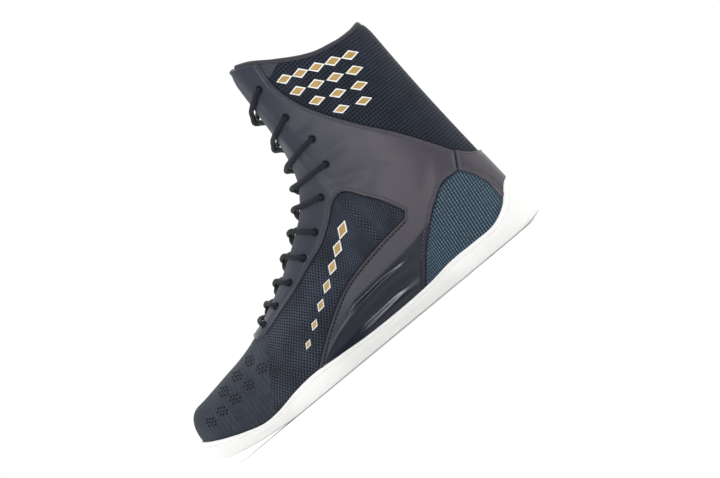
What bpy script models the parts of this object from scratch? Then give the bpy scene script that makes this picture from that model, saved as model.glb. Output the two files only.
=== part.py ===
"""High boxing shoe for the left foot: cup sole, hollow bootie upper, overlays, tongue and lace.

Tables and helper functions work in millimetres, with X from the back of the heel to the toe,
Y to the outer side of the foot and Z up from the floor. Meshes are written in metres.
"""
import math

import bmesh
import bpy
import numpy as np

MM = 0.001

# Sole
SOLE_LENGTH = 290.0
TOE_SPRING = 11.0
SPRING_START = 205.0
HEEL_BEVEL = 4.0
HEEL_FLAT_START = 22.0
CUP_FLOOR = 6.7
LIP = 1.7
EDGE_ROUND = 3.2
TREAD_DEPTH = 1.8

# Upper
FEATHER_HEIGHT = 7.0
WALL = 2.4
GAP = 0.3
CUP_GAP = 0.45
STATIONS = 35
RIB_ROWS = 9
THROAT_HALF = 13.0
THROAT_BASE = 209.0
THROAT_ROUND = 16.0
COLLAR_FRONT_HEIGHT = 213.0
COLLAR_CORNER = 13.0
COLLAR_FRONT_FOOT = 95.0
TOE_FOOT = 250.0
SHAFT_MIDDLE = 60.0
CORNER_FOOT = 90.0
CORNER_SPREAD = 6.0
CORNER_CROWD = 1.2

# Leather overlays
LEATHER = 1.2
LEATHER_GAP = 0.5
RIM_CLEARANCE = 0.6
SADDLE_END = 225.0
STRAP_END = 45.0

# Collar binding
BINDING_RADIUS = 1.6
BINDING_GAP = 0.7
BINDING_FRONT = 84.0
BINDING_STATIONS = 36

# Lace
LACE_RADIUS = 1.75
LACE_SIDES = 5
EYELET_RADIUS = 2.2
EYELET_SIDES = 6
PIN_REACH = 6.0

# Insole
INSOLE_THICKNESS = 3.4
INSOLE_INSET = 1.0

# Tongue
TONGUE_HALF = 21.0
TONGUE_DEPTH = 4.4
TONGUE_THICKNESS = 2.6
TONGUE_START = 10.0
TONGUE_PROUD = 15.0
TONGUE_TUCK = 224.0
TONGUE_STATIONS = 17
TONGUE_STEPS = 3


class Sections:
    """A short table whose columns are read as smooth curves from heel to toe.

    A turn of 0 is the heel end and 1 the toe end. Equal turns bunch up at both ends, as the
    points of a circle do seen from the side, so that the outline closes in round ends.
    """

    def __init__(self, names, rows):
        values = np.array(rows, float).T
        self.columns = dict(zip(names, values))
        self.first = values[0, 0]
        self.last = values[0, -1]
        self.turns = self.turn(values[0])

    def turn(self, x):
        share = np.clip((x - self.first) / (self.last - self.first), 0.0, 1.0)
        return np.arccos(1.0 - 2.0 * share) / math.pi

    def x(self, turn):
        return self.first + (self.last - self.first) * (1.0 - np.cos(math.pi * turn)) / 2.0

    def read(self, name, turn):
        return smooth(self.turns, self.columns[name], turn)


def smooth(knots, values, at):
    """A smooth curve through the knots, read at one or many places."""
    knots = np.asarray(knots, float)
    values = np.asarray(values, float)
    slopes = np.gradient(values, knots)
    index = np.clip(np.searchsorted(knots, at) - 1, 0, len(knots) - 2)
    span = knots[index + 1] - knots[index]
    s = (at - knots[index]) / span
    start = (2 * s ** 3 - 3 * s ** 2 + 1) * values[index] + (s ** 3 - 2 * s ** 2 + s) * span * slopes[index]
    end = (3 * s ** 2 - 2 * s ** 3) * values[index + 1] + (s ** 3 - s ** 2) * span * slopes[index + 1]
    return start + end


# The upper, a row for each rib. foot: place of the rib along the feather edge. lateral, medial:
# half widths there. top, half, height: where the rib ends on the collar or, with half 0, on the
# ridge of the instep. centre: sideways bend of the ridge. out, rise: swell of the side and the
# height at which it pulls. back, across, drop: pull of the top end towards heel, side and floor.
UPPER = Sections(
    ("foot", "lateral", "medial", "top", "half", "height", "centre",
     "out", "rise", "back", "across", "drop"),
    [
        (6.0, 0.0, 0.0, 13.5, 0.0, 179.5, 0.0, -3.0, 60.0, 0.0, 0.0, 70.0),
        (10.0, 14.0, 13.0, 15.0, 10.0, 178.5, 0.0, -2.5, 60.0, 0.0, 0.0, 70.0),
        (20.0, 26.5, 25.0, 21.5, 20.0, 177.0, 0.0, -1.0, 58.0, 0.0, 0.0, 70.0),
        (36.0, 35.0, 32.5, 35.0, 29.3, 177.5, 0.0, 0.5, 55.0, 0.0, 0.0, 70.0),
        (54.0, 38.0, 34.5, 54.0, 33.6, 182.5, 0.0, 0.5, 50.0, 0.0, 1.0, 70.0),
        (70.0, 36.8, 34.0, 74.0, 32.8, 194.0, 0.0, 1.0, 50.0, -1.0, 3.0, 70.0),
        (82.0, 34.0, 32.0, 92.0, 26.0, 206.0, 0.0, 2.0, 55.0, -4.0, 7.0, 62.0),
        (90.0, 32.2, 30.5, 106.0, 14.0, 212.0, 0.0, 3.0, 60.0, -8.0, 16.0, 46.0),
        (95.0, 31.0, 29.5, 112.0, 0.0, 213.0, 0.0, 4.0, 64.0, -12.0, 29.0, 30.0),
        (100.0, 30.0, 28.6, 113.0, 0.0, 189.0, 0.0, 5.0, 66.0, -14.0, 31.0, 14.0),
        (106.0, 29.0, 27.4, 114.0, 0.0, 161.0, -0.5, 5.5, 63.0, -13.0, 31.0, 6.0),
        (113.0, 28.3, 26.4, 118.0, 0.0, 134.0, -1.0, 5.5, 57.0, -9.0, 30.0, 0.0),
        (122.0, 27.6, 25.6, 127.0, 0.0, 116.0, -1.5, 5.5, 52.0, -4.0, 29.0, 0.0),
        (136.0, 28.8, 26.6, 141.0, 0.0, 102.0, -2.0, 5.0, 48.0, 0.0, 28.0, 0.0),
        (152.0, 34.0, 31.0, 157.0, 0.0, 90.5, -2.5, 4.5, 43.0, 0.0, 28.0, 0.0),
        (168.0, 41.5, 37.5, 172.0, 0.0, 80.5, -3.0, 4.0, 37.0, 0.0, 28.0, 0.0),
        (188.0, 47.6, 45.8, 190.0, 0.0, 71.0, -3.5, 3.5, 32.0, 0.0, 29.0, 0.0),
        (208.0, 45.8, 48.4, 208.0, 0.0, 63.0, -4.0, 3.0, 28.0, 0.0, 29.0, 0.0),
        (228.0, 37.6, 46.8, 228.0, 0.0, 56.0, -4.0, 3.5, 26.0, 0.0, 30.0, 0.0),
        (246.0, 33.0, 42.4, 245.0, 0.0, 51.5, -4.0, 4.0, 26.0, 0.0, 29.0, 0.0),
        (262.0, 28.6, 36.5, 258.0, 0.0, 47.5, -3.5, 4.5, 26.0, 2.0, 24.0, 0.0),
        (275.0, 20.6, 27.5, 266.0, 0.0, 44.5, -3.0, 5.0, 26.0, 8.0, 16.0, 0.0),
        (283.0, 11.0, 16.0, 270.0, 0.0, 43.0, -2.0, 5.0, 26.0, 12.0, 7.0, 0.0),
        (286.5, 0.0, 0.0, 271.0, 0.0, 42.5, -1.5, 5.0, 26.0, 14.0, 0.0, 0.0),
    ],
)

# The sole, a row for each place along the floor. lateral, medial: half widths of the tread
# outline. rim_lateral, rim_medial: height of the top edge of the side wall.
SOLE = Sections(
    ("foot", "lateral", "medial", "rim_lateral", "rim_medial"),
    [
        (0.0, 0.0, 0.0, 33.0, 33.0),
        (4.5, 16.0, 15.0, 30.0, 30.0),
        (13.0, 27.0, 25.5, 21.0, 23.0),
        (26.0, 35.0, 33.5, 15.0, 17.0),
        (44.0, 41.0, 37.4, 14.6, 14.0),
        (64.0, 42.0, 38.2, 14.6, 14.0),
        (84.0, 36.0, 33.3, 12.4, 12.4),
        (104.0, 31.0, 26.4, 11.6, 11.4),
        (126.0, 29.0, 22.6, 11.5, 11.2),
        (146.0, 33.2, 28.5, 12.0, 11.6),
        (166.0, 44.2, 39.2, 13.6, 13.0),
        (186.0, 51.6, 49.4, 15.2, 14.2),
        (206.0, 50.0, 52.6, 13.6, 14.6),
        (222.0, 42.0, 50.8, 10.6, 14.2),
        (238.0, 36.2, 47.4, 9.0, 12.6),
        (254.0, 34.8, 42.6, 11.0, 11.6),
        (268.0, 29.0, 36.8, 13.6, 13.6),
        (280.0, 19.6, 27.8, 16.0, 16.0),
        (287.0, 9.6, 17.0, 17.6, 17.6),
        (290.0, 0.0, 0.0, 18.0, 18.0),
    ],
)

# Raised tread pods in plan: centre, half length, half width and turn to the length in degrees.
PODS = (
    # x, y, half_length, half_width, degrees
    (267.0, 19.0, 33.0, 21.5, 0.0),
    (190.0, 29.5, 37.0, 26.5, 0.0),
    (204.0, -44.0, 34.0, 32.5, 0.0),
    (267.0, -24.0, 28.0, 19.0, 0.0),
    (55.0, 32.0, 29.0, 21.5, 0.0),
    (76.0, -24.5, 30.0, 24.0, 0.0),
    (18.0, -8.6, 28.0, 25.0, 0.0),
    (124.0, 6.8, 16.5, 8.5, 8.0),
)
POD_SIDES = 28

# The sunk middle of the tread, which the pods cut into, in plan from heel along the outer side.
TREAD_FIELD = (
    (34.0, 14.0), (60.0, 22.0), (80.0, 26.3), (150.0, 25.5), (190.0, 28.0), (231.0, 31.0),
    (240.0, 20.0), (262.0, -3.5), (250.0, -20.0), (238.0, -40.0), (205.0, -40.0), (172.0, -33.0),
    (164.0, -28.5), (152.0, -20.5), (136.0, -14.8), (120.0, -12.3), (104.0, -14.5), (80.0, -20.0),
    (49.0, -14.0), (38.0, 0.0),
)

# Edges of the leather seen from the side, as places along the shoe and heights.
COLLAR_SEAM = ((83.0, 205.0), (84.5, 181.0), (80.0, 164.0), (69.0, 143.5), (55.5, 124.0), (41.0, 105.0),
               (28.7, 85.6), (20.0, 70.5))
HEEL_ARCH = ((26.2, 58.8), (37.0, 59.3), (50.4, 52.2), (64.0, 41.8), (81.0, 25.9), (93.0, 12.0))
WINDOW_LOW = ((184.0, 14.0), (160.0, 32.5), (139.0, 45.0), (101.5, 53.8), (73.0, 56.7))
WINDOW_TOP = ((69.8, 60.5), (75.0, 71.5), (83.7, 84.2), (97.3, 98.2), (104.0, 96.9), (116.4, 88.2),
              (131.0, 79.6), (146.0, 74.2), (158.0, 69.9), (170.0, 66.0), (184.0, 62.2), (196.0, 58.8),
              (203.0, 57.4), (207.5, 57.4), (210.5, 59.0), (212.0, 62.0))
STRAP_TOP = ((19.4, 70.5), (12.8, 62.2), (4.0, 55.5))
STRAP_LOW = ((15.6, 20.0), (15.4, 28.0), (15.8, 38.8), (19.0, 48.1), (25.4, 58.8))
SADDLE_PARTING = -4.0
SADDLE_SPLIT = 0.6
FORM_REACH = 80.0
FORM_TOP = 230.0

# Lace holes from the top down, seen from the side: place along the shoe, height, and the
# distance down the ridge from the collar at which their row crosses it.
EYELETS = (
    # x, z, distance
    (94.0, 187.5, 25.0),
    (92.0, 161.0, 50.0),
    (87.0, 138.0, 72.0),
    (91.0, 119.0, 87.0),
    (108.5, 104.0, 101.0),
    (128.0, 88.5, 118.0),
    (146.0, 80.0, 136.0),
    (164.5, 73.0, 155.0),
    (182.5, 66.5, 173.0),
    (198.0, 61.5, 189.0),
)

# A lace strand from under one edge of the throat over to the other edge, and on to the hole.
STRAND_OVER_THROAT = (
    # reach, lift
    (-10.5, -0.4),
    (-2.0, 2.2),
    (6.0, 3.9),
    (13.0, 4.7),
)
STRAND_OVER_LEATHER = (
    # share of the way from edge to hole, lift
    (0.13, 4.9),
    (0.34, 5.0),
    (0.94, 4.8),
)
LACE_START_RISE = 5.0

LATERAL = 1
MEDIAL = -1
SIDES = (LATERAL, MEDIAL)
SIDE_NAMES = {LATERAL: "lateral", MEDIAL: "medial"}


def rocker(x):
    """Height that toe spring and heel bevel add at a place along the shoe."""
    toe = np.clip((x - SPRING_START) / (SOLE_LENGTH - SPRING_START), 0.0, None)
    heel = np.clip((HEEL_FLAT_START - x) / HEEL_FLAT_START, 0.0, None)
    return TOE_SPRING * toe ** 2 + HEEL_BEVEL * heel ** 2


def outline(table, side, turn):
    """Points of an outline in plan and the directions that lead out of it."""
    turn = np.asarray(turn, float)
    small = 1e-4
    before = np.clip(turn - small, 0.0, 1.0)
    after = np.clip(turn + small, 0.0, 1.0)
    name = SIDE_NAMES[side]
    along = table.x(after) - table.x(before)
    wide = table.read(name, after) - table.read(name, before)
    length = np.hypot(along, wide)
    point = np.stack([table.x(turn), side * table.read(name, turn)], axis=-1)
    way = np.stack([-wide / length, side * along / length], axis=-1)
    return point, way


def rib_controls(side, turn):
    """The four control points of the rib at each turn."""
    turn = np.asarray(turn, float)
    point, way = outline(UPPER, side, turn)
    level = np.full(turn.shape, FEATHER_HEIGHT)
    foot = np.stack([point[..., 0], point[..., 1], level], axis=-1)
    out = UPPER.read("out", turn)
    belly = np.stack(
        [point[..., 0] + way[..., 0] * out, point[..., 1] + way[..., 1] * out, UPPER.read("rise", turn)],
        axis=-1,
    )
    top_x = UPPER.read("top", turn)
    half = np.maximum(UPPER.read("half", turn), 0.0)
    centre = UPPER.read("centre", turn)
    height = UPPER.read("height", turn)
    top = np.stack([top_x, centre + side * half, height], axis=-1)
    reach = half + np.maximum(UPPER.read("across", turn), 0.0)
    shoulder = np.stack(
        [top_x + UPPER.read("back", turn), centre + side * reach, height - UPPER.read("drop", turn)],
        axis=-1,
    )
    return foot, belly, shoulder, top


def upper_point(side, turn, v):
    """A point on the outside of the upper: v is 0 at the feather edge and 1 at the top line."""
    foot, belly, shoulder, top = rib_controls(side, turn)
    v = np.asarray(v, float)[..., None]
    return (
        (1 - v) ** 3 * foot
        + 3 * (1 - v) ** 2 * v * belly
        + 3 * (1 - v) * v ** 2 * shoulder
        + v ** 3 * top
    )


def upper_normal(side, turn, v):
    """The direction that leads out of the upper at a point."""
    small = 2e-3
    turn = np.asarray(turn, float)
    v = np.asarray(v, float)
    low = np.clip(turn - small, 0.0, 1.0)
    high = np.clip(turn + small, 0.0, 1.0)
    along = upper_point(side, high, v) - upper_point(side, low, v)
    up = upper_point(side, turn, np.clip(v + small, 0, 1)) - upper_point(side, turn, np.clip(v - small, 0, 1))
    normal = np.cross(along, up) * -side
    at_end = (turn <= 0.0) | (turn >= 1.0)
    normal[..., 1] = np.where(at_end, 0.0, normal[..., 1])
    return normal / np.linalg.norm(normal, axis=-1, keepdims=True)


def half_gap(turn):
    """Half the width of the throat where a rib meets the ridge."""
    top = UPPER.read("top", turn)
    past = np.clip((top - THROAT_BASE + THROAT_ROUND) / THROAT_ROUND, 0.0, 1.0)
    return np.where(top < SHAFT_MIDDLE, -COLLAR_CORNER, THROAT_HALF * np.sqrt(1.0 - past ** 2))


def inside_edge(side, turn, v):
    """How far a point is inside the edge of throat and collar corner, negative past it."""
    point = upper_point(side, turn, v)
    gap = half_gap(turn)
    reach = (point[..., 1] - UPPER.read("centre", turn)) * side
    across = gap + COLLAR_CORNER - reach
    above = point[..., 2] - COLLAR_FRONT_HEIGHT + COLLAR_CORNER
    corner = COLLAR_CORNER - np.hypot(across, above)
    return np.where((across > 0) & (above > 0), corner, reach - gap)


def solve_v(side, turn, measure, low=0.0):
    """The highest v on each rib at which a measure that falls along the rib is still above 0."""
    turn = np.asarray(turn, float)
    lower = np.full(turn.shape, low)
    upper = np.ones(turn.shape)
    whole = measure(side, turn, upper) >= 0
    for _ in range(40):
        middle = (lower + upper) / 2
        keep = measure(side, turn, middle) >= 0
        lower = np.where(keep, middle, lower)
        upper = np.where(keep, upper, middle)
    return np.where(whole, 1.0, lower)


def edge_v(side, turn):
    """Where the upper ends on each rib: at the collar, the throat or, past the throat, the ridge."""
    return solve_v(side, turn, inside_edge, low=0.3)


def height_v(side, turn, height):
    """Where each rib passes a height."""
    def below(which, at, v):
        return height - upper_point(which, at, v)[..., 2]
    return solve_v(side, turn, below)


def reach_v(side, turn, reach):
    """Where each rib comes nearer to the ridge than a reach."""
    def outside(which, at, v):
        return (upper_point(which, at, v)[..., 1] - UPPER.read("centre", at)) * which - reach
    return solve_v(side, turn, outside, low=0.3)


def side_point(side, x, z, lift):
    """The point of the upper seen at a place and height from the side, raised from the surface."""
    turns = np.linspace(UPPER.turn(SHAFT_MIDDLE), UPPER.turn(TOE_FOOT), 401)
    places = upper_point(side, turns, height_v(side, turns, z))[:, 0]
    turn = np.interp(x, places, turns)
    v = height_v(side, turn, z)
    return upper_point(side, turn, v) + upper_normal(side, turn, v) * lift


def even_turns(count):
    """Turns that share out the length of feather edge and top line, closer at the collar's corner."""
    fine = np.linspace(0.0, 1.0, 2001)
    foot, _, _, top = rib_controls(LATERAL, fine)
    steps = np.linalg.norm(np.diff(foot, axis=0), axis=1) + np.linalg.norm(np.diff(top, axis=0), axis=1)
    nearness = np.exp(-((foot[1:, 0] - CORNER_FOOT) / CORNER_SPREAD) ** 2)
    travelled = np.concatenate([[0.0], np.cumsum(steps * (1.0 + CORNER_CROWD * nearness))])
    return np.interp(np.linspace(0.0, travelled[-1], count + 1), travelled, fine)


def clear_scene():
    for thing in list(bpy.data.objects):
        bpy.data.objects.remove(thing, do_unlink=True)


def finish_material(name, colour, roughness):
    material = bpy.data.materials.new(name)
    material.use_nodes = True
    shader = material.node_tree.nodes["Principled BSDF"]
    shader.inputs["Base Color"].default_value = (*colour, 1.0)
    shader.inputs["Roughness"].default_value = roughness
    shader.inputs["Metallic"].default_value = 0.0
    return material


def bent(points):
    """Points raised by toe spring and heel bevel, in metres."""
    points = np.array(points, float)
    points[:, 2] += rocker(points[:, 0])
    return points * MM


def bend(thing):
    """Raises a finished mesh by toe spring and heel bevel."""
    for vertex in thing.data.vertices:
        vertex.co.z += float(rocker(vertex.co.x / MM)) * MM


def mesh_object(name, points, faces, material=None, parent=None, closed=True):
    """An object of the points, merged where they meet. The faces of a closed form are turned out."""
    mesh = bpy.data.meshes.new(name)
    mesh.from_pydata([tuple(point) for point in points], [], faces)
    form = bmesh.new()
    form.from_mesh(mesh)
    bmesh.ops.remove_doubles(form, verts=form.verts, dist=0.02 * MM)
    bmesh.ops.dissolve_degenerate(form, edges=form.edges, dist=0.005 * MM)
    if closed:
        bmesh.ops.recalc_face_normals(form, faces=form.faces)
    form.to_mesh(mesh)
    form.free()
    if material is not None:
        mesh.materials.append(material)
    thing = bpy.data.objects.new(name, mesh)
    bpy.context.scene.collection.objects.link(thing)
    thing.parent = parent
    return thing


def grid_faces(rows, columns, first, turned):
    """Triangles of a grid whose points are listed row by row, turned over where asked."""
    faces = []
    for row in range(rows - 1):
        for column in range(columns - 1):
            corner = first + row * columns + column
            across = corner + columns + 1
            for face in ((corner, corner + 1, across), (corner, across, corner + columns)):
                faces.append(face[::-1] if turned else face)
    return faces


def ring_faces(loops, count):
    """Quads between closed loops of the same count."""
    faces = []
    for loop in range(loops - 1):
        for place in range(count):
            after = (place + 1) % count
            low = loop * count
            high = low + count
            faces.append((low + place, low + after, high + after, high + place))
    return faces


def closing_faces(first, stations):
    """A flat strip that closes a loop from its heel end to its toe end."""
    count = 2 * stations
    faces = []
    for place in range(stations):
        left = (first + place, first + place + 1)
        right = (first + (count - place) % count, first + (count - place - 1) % count)
        corners = (left[0], left[1], right[1], right[0])
        faces.append(tuple(dict.fromkeys(corners)))
    return faces


def add_wall(thing, thickness, offset):
    wall = thing.modifiers.new("wall", "SOLIDIFY")
    wall.thickness = thickness * MM
    wall.offset = offset
    wall.use_even_offset = True
    return wall


def ellipse(x, y, half_length, half_width, degrees):
    """Points of a pod's outline in plan."""
    lean = math.radians(degrees)
    points = []
    for place in range(POD_SIDES):
        angle = 2 * math.pi * place / POD_SIDES
        long = half_length * math.cos(angle)
        wide = half_width * math.sin(angle)
        points.append((x + long * math.cos(lean) - wide * math.sin(lean),
                       y + long * math.sin(lean) + wide * math.cos(lean)))
    return points


PLAN = (0, 1, 2)
SIDE_ON = (0, 2, 1)


def prism(name, corners, axes, low, high):
    """A straight prism over a flat outline; axes name the outline's two axes and the prism's own."""
    count = len(corners)
    points = np.zeros((2 * count, 3))
    points[:, axes[0]] = [corner[0] for corner in corners] * 2
    points[:, axes[1]] = [corner[1] for corner in corners] * 2
    points[:count, axes[2]] = low
    points[count:, axes[2]] = high
    faces = ring_faces(2, count)
    faces += [tuple(range(count)), tuple(range(count, 2 * count))]
    return mesh_object(name, points * MM, faces)


def cut(thing, tool, operation="DIFFERENCE"):
    """Cuts, joins or keeps what is common, and takes the tool away."""
    step = thing.modifiers.new("cut", "BOOLEAN")
    step.operation = operation
    step.solver = "EXACT"
    step.object = tool
    shaped = thing.evaluated_get(bpy.context.evaluated_depsgraph_get())
    mesh = bpy.data.meshes.new_from_object(shaped)
    thing.modifiers.clear()
    thing.data = mesh
    bpy.data.objects.remove(tool, do_unlink=True)


def split_along(thing, places):
    """Splits the faces of a mesh square to the length of the shoe."""
    form = bmesh.new()
    form.from_mesh(thing.data)
    for place in places:
        parts = form.verts[:] + form.edges[:] + form.faces[:]
        bmesh.ops.bisect_plane(form, geom=parts, plane_co=(place * MM, 0, 0), plane_no=(1, 0, 0))
    form.to_mesh(thing.data)
    form.free()


def curve_through(points, count):
    """A smooth line through a few points."""
    points = np.array(points, float)
    travelled = np.concatenate([[0.0], np.cumsum(np.linalg.norm(np.diff(points, axis=0), axis=1))])
    at = np.linspace(0.0, travelled[-1], count)
    return np.column_stack([smooth(travelled, points[:, axis], at) for axis in range(points.shape[1])])


def tube(name, route, radius, sides, material=None, parent=None):
    """A round cord with flat ends along a route."""
    route = np.array(route, float)
    ways = np.gradient(route, axis=0)
    ways /= np.linalg.norm(ways, axis=1, keepdims=True)
    across = np.cross(ways[0], (0.0, 0.0, 1.0))
    points = []
    for place, way in zip(route, ways):
        across = across - way * np.dot(across, way)
        across /= np.linalg.norm(across)
        other = np.cross(way, across)
        for corner in range(sides):
            angle = 2 * math.pi * corner / sides
            points.append(place + radius * (across * math.cos(angle) + other * math.sin(angle)))
    faces = ring_faces(len(route), sides)
    faces += [tuple(range(sides)), tuple(range(len(points) - sides, len(points)))]
    return mesh_object(name, bent(points), faces, material, parent)


def around(turns, make_point):
    """A closed loop of points: along the outer side to the toe and back along the inner side."""
    lateral = make_point(LATERAL, turns)
    medial = make_point(MEDIAL, turns)[1:-1][::-1]
    return np.concatenate([lateral, medial])


def cup_wall(side, turns, height):
    """Points of the cup's inner wall: the upper's outside at a height, one gap further out."""
    v = height_v(side, turns, height)
    _, way = outline(UPPER, side, turns)
    points = upper_point(side, turns, v)
    points[..., :2] += way * CUP_GAP
    points[..., 2] = height
    return points


def sole_loops(turns):
    """The loops of the cup sole, from the tread outwards, over the rim and down inside."""

    def floor_level(inset, height):
        def make(side, at):
            point, way = outline(SOLE, side, at)
            return np.column_stack([point - way * inset, np.full(len(at), height)])
        return make

    def rim_height(side, at):
        return SOLE.read("rim_" + SIDE_NAMES[side], at)

    def inner(share):
        def make(side, at):
            return cup_wall(side, at, CUP_FLOOR + share * (rim_height(side, at) - CUP_FLOOR))
        return make

    def rim(outwards, lower):
        def make(side, at):
            points = cup_wall(side, at, rim_height(side, at))
            _, way = outline(UPPER, side, at)
            points[..., :2] += way * outwards
            points[..., 2] -= lower
            return points
        return make

    def waistline(side, at):
        low = floor_level(0.0, 0.0)(side, at)
        high = rim(LIP, 0.0)(side, at)
        _, way = outline(SOLE, side, at)
        points = low * 0.45 + high * 0.55
        points[..., :2] += way * 0.8
        points[..., 2] = 0.62 * high[..., 2]
        return points

    makers = (
        floor_level(EDGE_ROUND, 0.0),
        floor_level(0.28 * EDGE_ROUND, 0.3 * EDGE_ROUND),
        floor_level(0.0, 1.1 * EDGE_ROUND),
        waistline,
        rim(LIP + 0.1, 0.8),
        rim(0.65 * LIP, 0.0),
        inner(1.0),
        inner(0.5),
        inner(0.0),
    )
    return [around(turns, maker) for maker in makers]


def build_outsole(turns, material, parent):
    loops = sole_loops(turns)
    count = len(loops[0])
    faces = ring_faces(len(loops), count)
    faces += closing_faces(0, STATIONS)
    faces += closing_faces((len(loops) - 1) * count, STATIONS)
    sole = mesh_object("outsole", np.concatenate(loops) * MM, faces, material, parent)
    field = prism("tread_field", TREAD_FIELD, PLAN, -TREAD_DEPTH, TREAD_DEPTH)
    for number, pod in enumerate(PODS):
        cut(field, prism("tread_pod_%d" % number, ellipse(*pod), PLAN, -2 * TREAD_DEPTH, 2 * TREAD_DEPTH))
    places = SOLE.x(turns)
    split_along(field, places[places > SPRING_START])
    cut(sole, field)
    bend(sole)
    return sole


def build_insole(turns, material, parent):
    inset = WALL + INSOLE_INSET

    def level(height):
        def make(side, at):
            point, way = outline(UPPER, side, at)
            return np.column_stack([point - way * inset, np.full(len(at), height)])
        return make

    bottom = around(turns, level(CUP_FLOOR + GAP))
    top = around(turns, level(CUP_FLOOR + GAP + INSOLE_THICKNESS))
    faces = ring_faces(2, len(bottom))
    faces += closing_faces(0, STATIONS)
    faces += closing_faces(len(bottom), STATIONS)
    return mesh_object("insole", bent(np.concatenate([bottom, top])), faces, material, parent)


def upper_sheet(turns):
    """Points and faces of the upper's outside, both sides."""
    points = []
    faces = []
    for side in SIDES:
        edge = edge_v(side, turns)
        for row in range(RIB_ROWS + 1):
            points.append(upper_point(side, turns, edge * row / RIB_ROWS))
    each = (RIB_ROWS + 1) * len(turns)
    for number, side in enumerate(SIDES):
        faces += grid_faces(RIB_ROWS + 1, len(turns), number * each, side == LATERAL)
    return np.concatenate(points), faces


def build_upper(turns, material, parent):
    points, faces = upper_sheet(turns)
    upper = mesh_object("upper", points * MM, faces, material, parent, closed=False)
    add_wall(upper, WALL, -1.0)
    cut(upper, eyelet_pins("upper_pins"))
    bend(upper)
    return upper


def leather_sheet(turns, sides):
    """A skin of leather on the rows of the upper, on one or both sides, above the rim of the sole."""
    points = []
    faces = []
    for side in sides:
        rim = SOLE.read("rim_" + SIDE_NAMES[side], turns)
        low = height_v(side, turns, rim + RIM_CLEARANCE)
        high = edge_v(side, turns)
        for row in range(RIB_ROWS + 1):
            v = np.maximum(low, high * row / RIB_ROWS)
            points.append(upper_point(side, turns, v) + upper_normal(side, turns, v) * LEATHER_GAP)
    each = (RIB_ROWS + 1) * len(turns)
    for number, side in enumerate(sides):
        faces += grid_faces(RIB_ROWS + 1, len(turns), number * each, side == LATERAL)
    return np.concatenate(points), faces


def leather_piece(name, turns, sides, form, material, parent, pins=None):
    """The part of the leather skin that lies inside a form, with holes where pins go through."""
    points, faces = leather_sheet(turns, sides)
    piece = mesh_object(name, points * MM, faces, material, parent, closed=False)
    add_wall(piece, LEATHER, 1.0)
    if pins is not None:
        cut(piece, pins)
    cut(piece, form, "INTERSECT")
    bend(piece)
    return piece


def saddle_form(side):
    """A prism through one side of the shoe, of the outline of saddle and eyestay."""
    low_back = HEEL_ARCH[-1][0]
    low_front = WINDOW_LOW[0][0]
    high_front = WINDOW_TOP[-1][0]
    high_back = COLLAR_SEAM[0][0]
    outer = np.concatenate([
        curve_through(COLLAR_SEAM, 14),
        curve_through(HEEL_ARCH, 12),
        [(low_back, 0.0), (low_front, 0.0)],
        curve_through(WINDOW_LOW, 10),
        curve_through(WINDOW_TOP, 26),
        [(high_front, FORM_TOP), (high_back, FORM_TOP)],
    ])
    near, far = sorted((SADDLE_PARTING + side * SADDLE_SPLIT, side * FORM_REACH))
    return prism("saddle_form", outer, SIDE_ON, near, far)


def strap_form():
    """A prism through the heel, of the strap's outline."""
    top = curve_through(STRAP_TOP, 6)
    low = curve_through(STRAP_LOW, 8)
    outer = np.concatenate([top, [(-10.0, 50.0), (-10.0, 20.0)], low])
    return prism("strap_form", outer, SIDE_ON, -FORM_REACH, FORM_REACH)


def eyelet_pins(name):
    """Pins through every lace hole, to cut them."""
    points = []
    faces = []
    for x, z, _ in EYELETS:
        for side in SIDES:
            low = side_point(side, x, z, -PIN_REACH)
            high = side_point(side, x, z, PIN_REACH)
            way = (high - low) / np.linalg.norm(high - low)
            across = np.cross(way, (1.0, 0.0, 0.0))
            across /= np.linalg.norm(across)
            other = np.cross(way, across)
            first = len(points)
            for end in (low, high):
                for corner in range(EYELET_SIDES):
                    angle = 2 * math.pi * corner / EYELET_SIDES
                    points.append(end + EYELET_RADIUS * (across * math.cos(angle) + other * math.sin(angle)))
            ring = range(first, first + EYELET_SIDES)
            faces += [tuple(first + index for index in face) for face in ring_faces(2, EYELET_SIDES)]
            faces += [tuple(ring), tuple(index + EYELET_SIDES for index in ring)]
    return mesh_object(name, np.array(points) * MM, faces)


def build_saddles(turns, material, parent):
    behind_toe = turns[UPPER.x(turns) < SADDLE_END]
    for side in SIDES:
        name = "saddle_" + SIDE_NAMES[side]
        pins = eyelet_pins("saddle_pins")
        leather_piece(name, behind_toe, (side,), saddle_form(side), material, parent, pins)


def build_heel_strap(turns, material, parent):
    heel = turns[UPPER.x(turns) < STRAP_END]
    leather_piece("heel_strap", heel, SIDES, strap_form(), material, parent)


def build_collar_binding(material, parent):
    """A round edge that sits on the collar, from one front corner round the heel to the other."""
    turns = np.linspace(0.0, UPPER.turn(BINDING_FRONT), BINDING_STATIONS // 2 + 1)
    lines = []
    for side in SIDES:
        top = np.ones(len(turns))
        line = upper_point(side, turns, top) - upper_normal(side, turns, top) * WALL / 2
        line[:, 2] += BINDING_RADIUS + BINDING_GAP
        lines.append(line)
    route = np.concatenate([lines[0][::-1], lines[1][1:]])
    tube("collar_binding", route, BINDING_RADIUS, LACE_SIDES, material, parent)


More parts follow.
